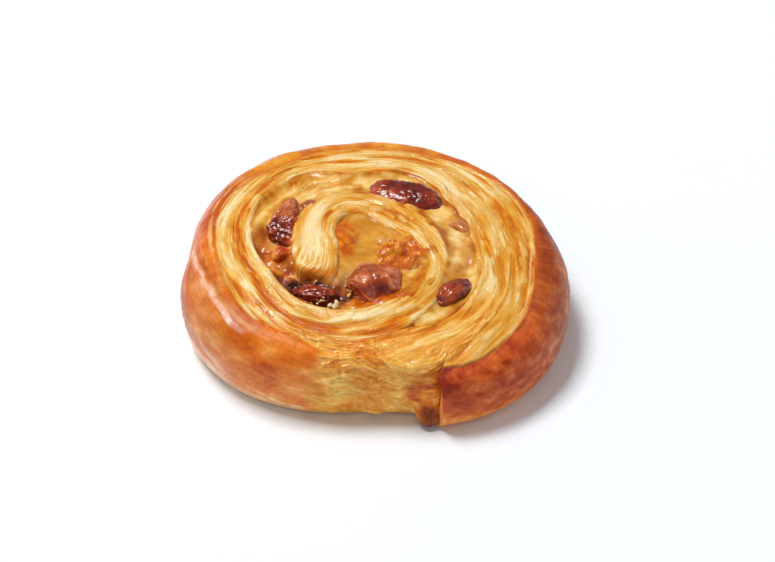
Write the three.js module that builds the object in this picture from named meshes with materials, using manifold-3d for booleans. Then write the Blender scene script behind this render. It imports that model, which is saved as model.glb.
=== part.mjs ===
// A rolled breakfast pastry with custard and raisins: one strip of layered dough wound into an oval
// roll of nearly three turns, pastry cream in the channel that the inner turns leave open, and
// raisins sunk in that cream. Millimetres, +Z up. The origin is the middle of the underside, -Y
// points to the baker who faces the loose end of the strip, and +X to that baker's right.

import * as THREE from "three";
import { mergeVertices } from "three/addons/utils/BufferGeometryUtils.js";
import Module from "manifold-3d";

const wasm = await Module();
wasm.setup();

// ---- The roll in plan ----
// The strip is followed by its winding angle: degrees from the loose end, counter-clockwise and
// inwards. Each face is given by its radius from the core at a few windings, [winding, radius], and
// runs smoothly through them.
const CORE = { x: -3, y: -2.5 };
const TAIL_BEARING = -65.5; // of the loose end, seen from the core
const STRIP_END = 1030;
const TAIL_SLANT = { lag: 4.6, over: 26 }; // the loose end is cut askew: its inner side lags, in degrees

const OUTER_FACE = [
  [0, 44.2],
  [14, 46.4],
  [35, 46.4],
  [60, 44.1],
  [112, 45.4],
  [150, 43.2],
  [210, 41.2],
  [262, 36.6],
  [312, 40.4],
  [340, 39.8],
  [360, 41.6],
  [378, 40.4],
  [400, 39],
  [436, 36],
  [482, 38],
  [527, 35.8],
  [552, 37.2],
  [627, 31.4],
  [672, 32.4],
  [712, 31],
  [738, 27],
  [756, 23.6],
  [817, 19],
  [862, 19.6],
  [910, 20.8],
  [960, 17.8],
  [1000, 18.3],
  [1030, 19.3],
];
const INNER_FACE = [
  [350, 31],
  [378, 32.4],
  [400, 31.2],
  [422, 27.4],
  [462, 27.4],
  [492, 31.6],
  [520, 28.6],
  [549, 33],
  [627, 25],
  [662, 25],
  [712, 21.6],
  [756, 17.2],
  [788, 11.6],
  [832, 8.6],
  [892, 11.2],
  [932, 7.9],
  [968, 6.2],
  [1000, 7.4],
  [1016, 9.6],
  [1030, 12.9],
];
const CHANNEL_START = { from: 352, to: 374 }; // where the turns part and the cream channel opens
const KNOB_ROUNDING = 17; // degrees of winding over which the inner end closes to a blunt tip
const KNOB_BLUNTNESS = 3; // power of that closing: 2 would be round
const KNOB_SLANT = { most: 24, over: 80 }; // the tip's outer side stops short by this many degrees

// Radius of the widest line of the side wall, from the origin.
const BELLY = [
  [0, 48.9],
  [14, 50.8],
  [34, 51.5],
  [64, 49.3],
  [82, 46.8],
  [100, 46.1],
  [140, 45.6],
  [172, 47.4],
  [196, 48.8],
  [222, 48.3],
  [240, 47.7],
  [252, 49.3],
  [264, 49.9],
  [288, 48.4],
  [312, 44.7],
  [334, 41.4],
  [346, 41.6],
  [360, 43.4],
];

// ---- Heights ----
const CROWN_HEIGHT = 26;
const RIM_DROP = 4.6; // from the crown to the rim
const RIM_DROP_POWER = 2.6;
const RIM_RADIUS = 44; // where that drop is reached
const SLUMP = { bearing: -98, halfWidth: 58, drop: 7.4 }; // the bared front, which sank in the oven
const TAIL_SAG = { bearing: -48, halfWidth: 46, drop: 2.6 };
const RIM_LIFT = { bearing: 110, halfWidth: 104, drop: -1.9 }; // the back stands a little higher
const KNOB_RISE = 1.2;
const KNOB_TIP_DROP = 4.2;
const CHANNEL_ROUNDING = 1.4; // of the dough's edges along the cream
const CREASE_ROUNDING = 0.3; // of the shallow creases between turns that baked together
const LAYER_RELIEF = 0.36;
const LAYERS_SHOWN = 3; // coarse leaves across one turn
const FUSE = { deep: 2.4, below: 4.5 }; // how neighbouring turns run into each other under a crease

// ---- Side wall ----
const BELLY_SHARE = 0.5; // height of the widest line, as a share of the rim's height
const FOOT_INSET = 4.4;
const BARED_SHOULDER = { at: 320, halfWidth: 38, width: 4.6 }; // winding of the rounder, crustless edge
const HIDDEN_FADE = { from: 360, to: 392 }; // the wall ends where the first turn covers it

// ---- Cream ----
const CREAM_DROP = 1.2; // its surface below the dough's crown line
const CREAM_BOTTOM = 0.4;
const CREAM_START = 352;
const CREAM_WAVE = 0.25;
// Soft mounds of the cream, and the hollows where it baked away: middle, half sizes and height.
const CREAM_MOUNDS = [
  { x: -8.6, y: -1.5, halfX: 5, halfY: 10, high: 1.5 },
  { x: -25.5, y: -3, halfX: 8, halfY: 12, high: -2 },
  { x: -20, y: -14, halfX: 9, halfY: 9, high: -2.3 },
  { x: -11, y: -20.5, halfX: 12, halfY: 6, high: -2.4 },
  { x: -4.5, y: -15.5, halfX: 5, halfY: 6, high: -1.4 },
  { x: 6, y: -5, halfX: 8.5, halfY: 7, high: 0.5 },
];

// ---- Fits and fineness ----
const GAP = 0.3; // between touching pieces
const WINDING_STEP = 6.6;
const KNOB_STEP = 2.4; // finer, where the inner end closes
const LENGTHS = [0, 347, 694, 1006, 1029.6]; // windings where the lengths of the strip meet
const TOP_POINTS = 9;
const ROUNDING_POINTS = 3;
const WALL_POINTS = 7;

// Raisins: centre in plan, half sizes along, across and up, bearing and tilt of the long axis, how
// far the middle lies under the crown line, and a seed that picks each one's wrinkles.
const RAISINS = [
  { name: "raisin_centre", x: 0.2, y: -16, half: [6.6, 6.4, 4.6], bearing: 20, tilt: 0, sink: 2.8, seed: 1 },
  { name: "raisin_back", x: 7.8, y: 17.4, half: [10.2, 4.9, 4.2], bearing: -27, tilt: 0, sink: 1.9, seed: 2 },
  { name: "raisin_tip", x: 21.4, y: 5, half: [3.4, 1.9, 2.1], bearing: -54, tilt: 0, sink: 1.6, seed: 3 },
  { name: "raisin_right", x: 19.2, y: -18.8, half: [6.2, 3.4, 3.5], bearing: 42, tilt: 0, sink: 2, seed: 4 },
  { name: "raisin_left", x: -22.4, y: 7.6, half: [7.8, 4.2, 4.2], bearing: 82, tilt: 10, sink: 2.3, seed: 5 },
  { name: "raisin_left_inner", x: -16.2, y: 12.6, half: [4, 2.5, 2.7], bearing: 40, tilt: 0, sink: 1.4, seed: 6 },
  { name: "raisin_glazed", x: -23.2, y: -4, half: [3, 2.2, 2.2], bearing: 15, tilt: 0, sink: 3, seed: 7 },
  { name: "raisin_front", x: -14.2, y: -18.6, half: [6.2, 2.6, 2.4], bearing: -12, tilt: 0, sink: 3.4, seed: 8 },
];
const RAISIN_DETAIL = 2; // subdivisions of the icosahedron
const RAISIN_WRINKLE = 0.09; // as a share of the half size

// ---- Helpers ----
const radians = (degrees) => (degrees * Math.PI) / 180;
const clamp01 = (x) => Math.min(1, Math.max(0, x));
const mix = (a, b, share) => a + (b - a) * share;

/** Smooth rise from 0 at `from` to 1 at `to`. */
function ramp(x, from, to) {
  const s = clamp01((x - from) / (to - from));
  return s * s * (3 - 2 * s);
}

/** Smooth hump of height 1 at a bearing, gone at `halfWidth` degrees to either side. */
function hump(bearing, at, halfWidth) {
  const apart = Math.abs(((((bearing - at) % 360) + 540) % 360) - 180);
  return 1 - ramp(apart, 0, halfWidth);
}

/** Smooth curve through stations [x, value], with the slope at each taken from its neighbours. */
function along(stations, x) {
  const last = stations.length - 1;
  const at = Math.min(Math.max(x, stations[0][0]), stations[last][0]);
  let i = 0;
  while (i < last - 1 && stations[i + 1][0] < at) i++;
  const slope = (k) => {
    const [before, after] = [stations[Math.max(0, k - 1)], stations[Math.min(last, k + 1)]];
    return (after[1] - before[1]) / (after[0] - before[0]);
  };
  const [x0, y0] = stations[i];
  const [x1, y1] = stations[i + 1];
  const span = x1 - x0;
  const s = (at - x0) / span;
  const s2 = s * s;
  const s3 = s2 * s;
  return (
    (2 * s3 - 3 * s2 + 1) * y0 +
    (s3 - 2 * s2 + s) * span * slope(i) +
    (3 * s2 - 2 * s3) * y1 +
    (s3 - s2) * span * slope(i + 1)
  );
}

// ---- The strip's faces ----
const bearingOf = (winding) => TAIL_BEARING + winding;

/** How far a point lags behind its ring because the loose end is cut askew, in degrees. */
const tailLag = (winding, across) => TAIL_SLANT.lag * (1 - clamp01(across)) * (1 - ramp(winding, 0, TAIL_SLANT.over));

/** How far the outer side of the inner end stops short, which slants its cut, in degrees. */
const knobLag = (winding, across) => KNOB_SLANT.most * across * ramp(winding, STRIP_END - KNOB_SLANT.over, STRIP_END);

/** Plan position of a point at a radius from the core, on the bearing of a winding angle. */
function planPoint(winding, radius) {
  const bearing = radians(bearingOf(winding));
  return [CORE.x + radius * Math.cos(bearing), CORE.y + radius * Math.sin(bearing)];
}

/** How far the inner end has closed: 1 along the strip, falling to 0 at its very tip. */
function knobClosing(winding) {
  const s = clamp01((winding - (STRIP_END - KNOB_ROUNDING)) / KNOB_ROUNDING);
  return (1 - s ** KNOB_BLUNTNESS) ** (1 / KNOB_BLUNTNESS);
}

/** Radii of the strip's outer and inner faces. */
function faces(winding) {
  const outer = along(OUTER_FACE, winding);
  const fused = along(OUTER_FACE, Math.min(winding + 360, 712));
  const inner = mix(fused, along(INNER_FACE, winding), ramp(winding, CHANNEL_START.from, CHANNEL_START.to));
  const middle = (outer + inner) / 2;
  const closing = knobClosing(winding);
  return { outer: mix(middle, outer, closing), inner: mix(middle, inner, closing) };
}

/** Height of the dough's crown line at a radius and bearing. */
function crownHeight(winding, radius) {
  const bearing = bearingOf(winding);
  const outward = radius / RIM_RADIUS;
  const low = [SLUMP, TAIL_SAG, RIM_LIFT].reduce((sum, l) => sum + l.drop * hump(bearing, l.bearing, l.halfWidth), 0);
  const knob = KNOB_RISE * ramp(winding, 860, 930) - KNOB_TIP_DROP * (1 - knobClosing(winding));
  return CROWN_HEIGHT - RIM_DROP * outward ** RIM_DROP_POWER - low * outward ** 3 + knob;
}

/** Radius from the core of the side wall's widest line. */
function bellyRadius(winding) {
  const bearing = radians(bearingOf(winding));
  const target = along(BELLY, winding);
  const across = CORE.x * Math.cos(bearing) + CORE.y * Math.sin(bearing);
  return -across + Math.sqrt(across * across - CORE.x ** 2 - CORE.y ** 2 + target * target);
}

/**
 * Cross-section of the strip at a winding angle, as [radius, height, lag] triples: up the inner face,
 * over the layered top and down the outer face.
 */
function section(winding) {
  const { outer, inner } = faces(winding);
  const fused = 1 - ramp(winding, CHANNEL_START.from, CHANNEL_START.to);
  const width = outer - inner;
  const innerRound = Math.min(mix(CHANNEL_ROUNDING, CREASE_ROUNDING, fused), width / 2.2);
  const outerFree = ramp(winding, 712, 738);
  const outerRound = Math.min(mix(CREASE_ROUNDING, CHANNEL_ROUNDING, outerFree), width / 2.2);
  const topHeight = (radius) => {
    const across = (radius - inner) / width;
    const leaves = Math.cos(2 * Math.PI * LAYERS_SHOWN * across + radians(winding) * 1.5);
    return crownHeight(winding, radius) + LAYER_RELIEF * leaves * Math.sin(Math.PI * clamp01(across));
  };
  const foot = inner - fused * FUSE.deep;
  const points = [
    [foot, 0],
    [foot, topHeight(inner) - innerRound - fused * FUSE.below],
  ];
  for (let i = 0; i < ROUNDING_POINTS; i++) {
    const turn = (i / ROUNDING_POINTS) * (Math.PI / 2);
    const radius = inner + innerRound * (1 - Math.cos(turn));
    points.push([radius, topHeight(radius) - innerRound * (1 - Math.sin(turn))]);
  }
  const onWall = 1 - ramp(winding, HIDDEN_FADE.from, HIDDEN_FADE.to);
  const bared = 1 - ramp(Math.abs(winding - BARED_SHOULDER.at), BARED_SHOULDER.halfWidth * 0.3, BARED_SHOULDER.halfWidth);
  const shoulder = BARED_SHOULDER.width * bared;
  const outerStart = outer - mix(outerRound, shoulder, onWall);
  for (let i = 0; i <= TOP_POINTS; i++) {
    const radius = mix(inner + innerRound, outerStart, i / TOP_POINTS);
    points.push([radius, topHeight(radius)]);
  }
  // outer face: a crust that swells to the belly and tucks in at the foot, or a rounded edge and a
  // plain face where it lies inside the roll
  const rimHeight = topHeight(outerStart);
  const bellyHeight = rimHeight * BELLY_SHARE;
  const belly = mix(outer, bellyRadius(winding), onWall);
  const footInset = FOOT_INSET * onWall;
  for (let i = 1; i <= WALL_POINTS; i++) {
    const share = i / WALL_POINTS;
    const upper = (clamp01(share * 2) * Math.PI) / 2;
    const lower = (clamp01(share * 2 - 1) * Math.PI) / 2;
    const wall =
      share <= 0.5
        ? [mix(outerStart, belly, Math.sin(upper)), mix(bellyHeight, rimHeight, Math.cos(upper))]
        : [mix(belly - footInset, belly, Math.cos(lower)), bellyHeight * (1 - Math.sin(lower))];
    const edge =
      share <= 0.5
        ? [mix(outerStart, outer, Math.sin(upper)), mix(rimHeight - outerRound, rimHeight, Math.cos(upper))]
        : [outer, (rimHeight - outerRound) * (2 - 2 * share)];
    points.push([mix(edge[0], wall[0], onWall), mix(edge[1], wall[1], onWall)]);
  }
  points[points.length - 1][1] = 0;
  return points.map(([radius, height]) => {
    const across = (radius - inner) / width;
    return [radius, height, tailLag(winding, across) - knobLag(winding, across)];
  });
}

// ---- Solids ----

/** A closed solid from a three.js surface, turned to face outwards. */
function solidOf(geometry) {
  for (const name of ["normal", "uv"]) geometry.deleteAttribute(name);
  const merged = mergeVertices(geometry, 1e-4);
  const vertProperties = merged.attributes.position.array;
  const make = (triVerts) => new wasm.Manifold(new wasm.Mesh({ numProp: 3, vertProperties, triVerts }));
  const triangles = new Uint32Array(merged.index.array);
  const made = make(triangles);
  return made.volume() > 0 ? made : make(triangles.slice().reverse());
}

/** A flat end for a swept solid, as corner numbers that start at `first`. */
function flatEnd(points, first, reversed) {
  const flat = points.map(([radius, height]) => new THREE.Vector2(radius, height));
  const side = (corners) => Math.sign(THREE.ShapeUtils.area(corners));
  const asOutline = (face) => (side(face.map((k) => flat[k])) === side(flat) ? face : face.reverse());
  return THREE.ShapeUtils.triangulateShape(flat, [])
    .map((face) => (reversed ? asOutline(face).reverse() : asOutline(face)))
    .flatMap((face) => face.map((k) => first + k));
}

/** Closed solid swept round the core: `ring(winding)` gives the same number of points each time. */
function swept(ring, from, to, step) {
  const count = Math.max(2, Math.round((to - from) / step));
  const rings = Array.from({ length: count + 1 }, (_, i) => mix(from, to, i / count)).map((w) => [w, ring(w)]);
  const size = rings[0][1].length;
  const positions = rings.flatMap(([winding, points]) =>
    points.flatMap(([radius, height, lag = 0]) => [...planPoint(winding + lag, radius), height]),
  );
  const triangles = [];
  for (let i = 0; i < count; i++)
    for (let j = 0; j < size; j++) {
      const a = i * size + j;
      const b = i * size + ((j + 1) % size);
      triangles.push(a, b + size, b, a, a + size, b + size);
    }
  triangles.push(...flatEnd(rings[0][1], 0, false));
  triangles.push(...flatEnd(rings[count][1], count * size, true));
  const geometry = new THREE.BufferGeometry();
  geometry.setAttribute("position", new THREE.Float32BufferAttribute(positions, 3));
  geometry.setIndex(triangles);
  return solidOf(geometry);
}

/** The whole strip, made in lengths of under a turn and joined, as neighbouring turns bake together. */
function doughStrip() {
  const steps = [WINDING_STEP, WINDING_STEP, WINDING_STEP, KNOB_STEP];
  return steps.map((step, k) => swept(section, LENGTHS[k], LENGTHS[k + 1], step)).reduce((all, next) => all.add(next));
}

/** The room that the strip takes up beside the cream: plain walls, a gap larger than the strip. */
function doughRoom() {
  const tip = LENGTHS[4];
  const ring = (winding) => {
    const { outer, inner } = faces(Math.min(winding, tip));
    const from = inner - FUSE.deep * (1 - ramp(winding, CHANNEL_START.from, CHANNEL_START.to)) - GAP;
    const lag = -knobLag(winding, 1);
    return [
      [from, -1],
      [from, CROWN_HEIGHT + 5],
      [outer + GAP, CROWN_HEIGHT + 5, lag],
      [outer + GAP, -1, lag],
    ];
  };
  const second = swept(ring, 330, LENGTHS[2], WINDING_STEP);
  const third = swept(ring, LENGTHS[2], LENGTHS[3], WINDING_STEP);
  const knob = swept(ring, LENGTHS[3], tip, KNOB_STEP);
  return second.add(third).add(knob).add(swept(ring, tip, tip + 6, 3));
}

/** Height of the crown line at a place in plan. */
function crownAt(x, y) {
  const bearing = (Math.atan2(y - CORE.y, x - CORE.x) * 180) / Math.PI;
  return crownHeight(bearing - TAIL_BEARING, Math.hypot(x - CORE.x, y - CORE.y));
}

/** Height of the cream's surface: the crown line, lowered, with gentle waves, mounds and hollows. */
function creamHeight(x, y) {
  const wave = CREAM_WAVE * Math.sin(x * 0.7 + 1) * Math.cos(y * 0.55);
  const mounds = CREAM_MOUNDS.reduce((sum, m) => {
    const away = Math.hypot((x - m.x) / m.halfX, (y - m.y) / m.halfY);
    return sum + m.high * (1 - ramp(away, 0.2, 1));
  }, 0);
  return crownAt(x, y) - CREAM_DROP + wave + mounds;
}

/** The cream before the dough and raisins are cut from it: a disc under the channel and the core. */
function creamDisc() {
  const reach = (winding) => Math.max(2, along(INNER_FACE, Math.max(winding, CREAM_START)) + 1);
  const around = 60;
  const rings = [1, 0.91, 0.82, 0.73, 0.64, 0.54, 0.43, 0.31, 0.17];
  const windingAt = (j) => 360 + (j / around) * 360;
  const positions = [CORE.x, CORE.y, creamHeight(CORE.x, CORE.y), CORE.x, CORE.y, CREAM_BOTTOM];
  const triangles = [];
  const index = (k, j) => 2 + k * around + (j % around);
  for (let j = 0; j < around; j++) {
    const [x, y] = planPoint(windingAt(j), reach(windingAt(j)));
    positions.push(x, y, CREAM_BOTTOM);
  }
  for (const share of rings)
    for (let j = 0; j < around; j++) {
      const [x, y] = planPoint(windingAt(j), reach(windingAt(j)) * share);
      positions.push(x, y, creamHeight(x, y));
    }
  for (let j = 0; j < around; j++) {
    triangles.push(1, index(0, j + 1), index(0, j));
    for (let k = 0; k < rings.length; k++)
      triangles.push(index(k, j), index(k, j + 1), index(k + 1, j + 1), index(k, j), index(k + 1, j + 1), index(k + 1, j));
    triangles.push(index(rings.length, j), index(rings.length, j + 1), 0);
  }
  const geometry = new THREE.BufferGeometry();
  geometry.setAttribute("position", new THREE.Float32BufferAttribute(positions, 3));
  geometry.setIndex(triangles);
  return solidOf(geometry);
}

/** A raisin: a sphere of triangles with a dented middle and wrinkles along its length. */
function raisinSolid(raisin, clearance) {
  const geometry = new THREE.IcosahedronGeometry(1, RAISIN_DETAIL);
  const position = geometry.attributes.position;
  const point = new THREE.Vector3();
  for (let i = 0; i < position.count; i++) {
    point.fromBufferAttribute(position, i).normalize();
    const around = Math.atan2(point.z, point.y);
    const wrinkle =
      Math.sin(5 * around + 3 * point.x + raisin.seed) * 0.6 +
      Math.sin(3 * around - 4 * point.x + 2.3 * raisin.seed) * 0.4;
    const size = 1 + RAISIN_WRINKLE * wrinkle * (1 - point.x * point.x);
    const [x, y, z] = ["x", "y", "z"].map((axis, k) => point[axis] * (size * raisin.half[k] + clearance));
    position.setXYZ(i, x, y, z);
  }
  geometry.rotateY(radians(-raisin.tilt));
  geometry.rotateZ(radians(raisin.bearing));
  geometry.translate(raisin.x, raisin.y, crownAt(raisin.x, raisin.y) - raisin.sink);
  return solidOf(geometry);
}

// ---- Assembly ----
const FINISHES = {
  dough: { color: 0xdd9c45, roughness: 0.45 },
  cream: { color: 0xd0933f, roughness: 0.25 },
  raisin: { color: 0x6b2a1c, roughness: 0.3 },
};

/** A named mesh from a solid, with one of the finishes. */
function piece(name, solid, finish) {
  const mesh = solid.getMesh();
  const positions = new Float32Array(mesh.numVert * 3);
  for (let i = 0; i < mesh.numVert; i++)
    positions.set(mesh.vertProperties.subarray(i * mesh.numProp, i * mesh.numProp + 3), i * 3);
  const geometry = new THREE.BufferGeometry();
  geometry.setAttribute("position", new THREE.BufferAttribute(positions, 3));
  geometry.setIndex(new THREE.BufferAttribute(mesh.triVerts, 1));
  geometry.computeVertexNormals();
  const material = new THREE.MeshStandardMaterial({ ...FINISHES[finish], metalness: 0 });
  const made = new THREE.Mesh(geometry, material);
  made.name = name;
  return made;
}

/** The largest of the bodies that a cut leaves. */
const largest = (solid) => solid.decompose().sort((a, b) => b.volume() - a.volume())[0];

const roll = new THREE.Group();
const sockets = RAISINS.map((raisin) => raisinSolid(raisin, GAP));
const without = (solid, cutters) => largest(cutters.reduce((rest, cutter) => rest.subtract(cutter), solid));
roll.add(piece("dough", without(doughStrip(), sockets), "dough"));
roll.add(piece("cream", without(creamDisc(), [doughRoom(), ...sockets]), "cream"));
// where two raisins touch, the later one is pressed flat
RAISINS.forEach((raisin, i) =>
  roll.add(piece(raisin.name, without(raisinSolid(raisin, 0), sockets.slice(0, i)), "raisin")),
);

export default roll;
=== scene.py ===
"""Looks of a rolled breakfast pastry with custard and raisins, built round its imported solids.

One strip of layered dough is wound into an oval roll. Its cut face shows the leaves of the dough,
its side is a glazed brown crust, pastry cream fills the channel between the inner turns, and
raisins lie in the cream. Plan sizes below are in millimetres and angles in degrees; the frame is
that of the solids, with +Z up and the loose end of the strip towards -Y.
"""

import logging
import math
from dataclasses import dataclass
from enum import Enum

import bpy
import numpy as np
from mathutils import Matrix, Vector

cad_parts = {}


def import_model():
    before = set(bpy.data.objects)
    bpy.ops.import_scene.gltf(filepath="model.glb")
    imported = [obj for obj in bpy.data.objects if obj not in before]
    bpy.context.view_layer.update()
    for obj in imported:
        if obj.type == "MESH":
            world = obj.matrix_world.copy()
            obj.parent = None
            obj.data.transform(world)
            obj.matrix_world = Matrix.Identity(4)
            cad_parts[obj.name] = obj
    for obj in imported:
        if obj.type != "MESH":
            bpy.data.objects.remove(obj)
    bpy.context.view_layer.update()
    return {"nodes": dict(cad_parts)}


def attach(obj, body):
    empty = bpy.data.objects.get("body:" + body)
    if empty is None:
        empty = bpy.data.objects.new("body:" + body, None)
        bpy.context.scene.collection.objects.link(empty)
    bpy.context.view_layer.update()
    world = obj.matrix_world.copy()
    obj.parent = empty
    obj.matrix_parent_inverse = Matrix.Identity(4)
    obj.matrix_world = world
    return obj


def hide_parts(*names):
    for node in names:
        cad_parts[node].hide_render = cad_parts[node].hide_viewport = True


Array = np.ndarray
Pair = tuple[float, float]
Place = tuple[float, float, float]
Span = tuple[float, float, float, float]
Stations = tuple[Pair, ...]
Shade = tuple[int, int, int]

MM = 0.001
END_RINGS = (0.96, 0.7, 0.35)
log = logging.getLogger("raisin_roll")


# ---- Plain sums on whole arrays ----


def mix(a: Array | float, b: Array | float, share: Array | float) -> Array:
    """Value that lies a share of the way from a to b."""
    return a + (b - a) * share


def rise(x: Array | float, start: float, end: float) -> Array:
    """Smooth step from 0 at start to 1 at end."""
    s = np.clip((np.asarray(x, float) - start) / (end - start), 0.0, 1.0)
    return s * s * (3.0 - 2.0 * s)


def fall(x: Array | float, start: float, end: float) -> Array:
    """Smooth step from 1 at start to 0 at end."""
    return 1.0 - rise(x, start, end)


def near(x: Array, within: float, end: float) -> Array:
    """1 where x lies within a distance of zero, falling smoothly to 0 at the distance end."""
    return fall(np.abs(x), within, end)


def window(x: Array, start: float, full: float, fade: float, end: float) -> Array:
    """1 from full to fade, falling smoothly to 0 at start and at end."""
    return rise(x, start, full) * fall(x, fade, end)


def crest(x: Array, sharpness: float = 1.0) -> Array:
    """Sharp crest of height 1 where an unevenness crosses zero."""
    return (1.0 - np.minimum(np.abs(x) * sharpness, 1.0)) ** 2


def hump(angle: Array, at: float, half_width: float) -> Array:
    """Smooth hump of height 1 at an angle, gone at half_width degrees to either side."""
    apart = np.abs((angle - at + 180.0) % 360.0 - 180.0)
    return fall(apart, 0.0, half_width)


def spot(a: Array, b: Array, centre: Pair, half: Pair, soft: float = 0.5) -> Array:
    """1 inside an oval in the coordinates a, b, fading to 0 over the soft share of its radius."""
    away = np.hypot((a - centre[0]) / half[0], (b - centre[1]) / half[1])
    return fall(away, 1.0 - soft, 1.0 + 1e-6)


def along(stations: Stations, x: Array) -> Array:
    """Smooth curve through stations (x, value), with the slope at each taken from its neighbours.

    Args:
        stations: at least two stations, by rising x.
        x: places at which the curve is wanted; it stays level outside the stations.

    Returns:
        A cubic piece between each two stations, evaluated at x.
    """
    knots, values = np.array(stations, float).T
    last = len(knots) - 1
    index = np.arange(last + 1)
    low, high = np.maximum(index - 1, 0), np.minimum(index + 1, last)
    slopes = (values[high] - values[low]) / (knots[high] - knots[low])
    at = np.clip(x, knots[0], knots[-1])
    i = np.clip(np.searchsorted(knots, at) - 1, 0, last - 1)
    span = knots[i + 1] - knots[i]
    s = (at - knots[i]) / span
    return (
        (2 * s**3 - 3 * s**2 + 1) * values[i]
        + (s**3 - 2 * s**2 + s) * span * slopes[i]
        + (3 * s**2 - 2 * s**3) * values[i + 1]
        + (s**3 - s**2) * span * slopes[i + 1]
    )


def scramble(i: Array, j: Array | int, k: Array | int, seed: int) -> Array:
    """A number from 0 to 1 for each whole-numbered place, mixed up from the place and the seed.

    The place and the seed are multiplied by large odd numbers and added, and the sum's upper bits
    are folded twice onto its lower ones.

    Args:
        i: first whole number of each place.
        j: second one.
        k: third one.
        seed: picks the pattern.

    Returns:
        The numbers.
    """
    code = (i * 374761393 + j * 668265263 + k * 2147483647 + seed * 144665) & 0xFFFFFFFF
    code = ((code ^ (code >> 13)) * 1274126177) & 0xFFFFFFFF
    return ((code ^ (code >> 16)) & 0xFFFFFF) / 0xFFFFFF


def grain(x: Array, y: Array | float, seed: int, z: Array | None = None) -> Array:
    """Smooth unevenness from -1 to 1 with cells one unit wide.

    Each corner of a unit lattice has its scrambled number, and a point mixes the corners round it
    with smooth weights.

    Args:
        x: first coordinate.
        y: second coordinate.
        seed: picks the pattern.
        z: third coordinate, where there is one.

    Returns:
        The unevenness at each point.
    """
    axes = np.broadcast_arrays(*(np.asarray(v, float) for v in (x, y, z) if v is not None))
    cells = [np.floor(c).astype(np.int64) for c in axes]
    smooth = [(c - k) ** 3 * ((c - k) * ((c - k) * 6 - 15) + 10) for c, k in zip(axes, cells)]
    total = np.zeros(axes[0].shape)
    for corner in range(2 ** len(axes)):
        step = [corner >> n & 1 for n in range(len(axes))]
        weight = 1.0
        for s, f in zip(step, smooth):
            weight = weight * (f if s else 1.0 - f)
        place = [k + s for k, s in zip(cells, step)]
        total += weight * scramble(place[0], place[1], place[2] if len(place) > 2 else 0, seed)
    return total * 2.0 - 1.0


def pebbles(x: Array, y: Array, seed: int, share: float = 1.0) -> Array:
    """Round domes strewn at random, one to a unit cell.

    A dome's height is the square root of 1 less the squared distance over its squared radius, and
    a point takes the highest dome of the nine cells round it.

    Args:
        x: first coordinate.
        y: second coordinate.
        seed: picks the pattern.
        share: part of the cells that have a dome.

    Returns:
        Height 0 to 1 at each point.
    """
    cx, cy = np.floor(x).astype(np.int64), np.floor(y).astype(np.int64)
    best = np.zeros(np.shape(x))
    for n in range(9):
        i, j = cx + n % 3 - 1, cy + n // 3 - 1
        away = (x - i - scramble(i, j, 1, seed)) ** 2 + (y - j - scramble(i, j, 2, seed)) ** 2
        radius = 0.22 + 0.36 * scramble(i, j, 3, seed)
        there = scramble(i, j, 4, seed) < share
        best = np.maximum(best, there * radius / 0.58 * np.sqrt(np.maximum(0.0, 1.0 - away / radius**2)))
    return best


def rough(x: Array, y: Array, seed: int, octaves: int = 3) -> Array:
    """Unevenness in several finenesses, each twice as fine and half as strong as the last."""
    total = sum(grain(x * 2**k, y * 2**k, seed + k) / 2**k for k in range(octaves))
    return total / (2.0 - 2.0 ** (1 - octaves))


def srgb(red: int, green: int, blue: int) -> Array:
    """Colour as light from a colour as seen on a screen, 0 to 255."""
    c = np.array([red, green, blue], float) / 255.0
    return np.where(c <= 0.04045, c / 12.92, ((c + 0.055) / 1.055) ** 2.4)


def blend(under: Array, over: Array, share: Array | float) -> Array:
    """Colours `under` covered with colour `over` by a share for each point."""
    return under + (over - under) * np.asarray(share)[..., None]


def shade(level: Array | float, tones: tuple[Shade, ...]) -> Array:
    """Colours as light from a level of 0 to 1, by straight pieces between evenly spaced tones."""
    stops, lights = np.linspace(0.0, 1.0, len(tones)), np.array([srgb(*t) for t in tones])
    return np.stack([np.interp(level, stops, lights[:, c]) for c in range(3)], axis=-1)


class Palette(Enum):
    """Named colours as seen on a screen, each a row of tones from its darkest to its palest."""

    def light(self, level: Array | float) -> Array:
        """The colour as light at a level of 0 to 1."""
        return shade(level, self.value)

    def over(self, skin: Array, level: Array | float, share: Array | float) -> Array:
        """Colours `skin` covered with this one, at a level, by a share for each point."""
        return blend(skin, self.light(level), share)


# ---- Meshes ----


def closed_faces(rows: int, columns: int) -> list[Array]:
    """Corner numbers of the faces of a grid of points that is closed all round.

    Points are numbered row by row, and the columns close on themselves. Two more points come last:
    the middles of the fans of triangles that close the first and the last row.

    Args:
        rows: rows of points.
        columns: points in a row.

    Returns:
        The quads, the first fan and the last fan.
    """
    i, j = np.arange(rows - 1)[:, None], np.arange(columns)[None, :]
    beside = (j + 1) % columns
    corners = (i * columns + j, i * columns + beside, (i + 1) * columns + beside, (i + 1) * columns + j)
    quads = np.stack([c.ravel() for c in np.broadcast_arrays(*corners)], axis=-1)
    first, last = np.arange(columns), (rows - 1) * columns + np.arange(columns)
    middle = np.full(columns, rows * columns)
    start = np.stack([np.roll(first, -1), first, middle], axis=1)
    end = np.stack([last, np.roll(last, -1), middle + 1], axis=1)
    return [quads, start, end]


def ball(rows: int, columns: int) -> tuple[Array, Array, Array]:
    """A round grid without its poles: the coordinate along its axis, and the two across it.

    Args:
        rows: rows from pole to pole, poles counted.
        columns: points round the axis.

    Returns:
        The three coordinates on a ball of radius 1.
    """
    down = np.linspace(0.0, math.pi, rows)[1:-1, None]
    turn = (np.arange(columns) / columns * 2.0 * math.pi)[None, :]
    return np.cos(down) + 0.0 * turn, np.sin(down) * np.cos(turn), np.sin(down) * np.sin(turn)


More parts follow.
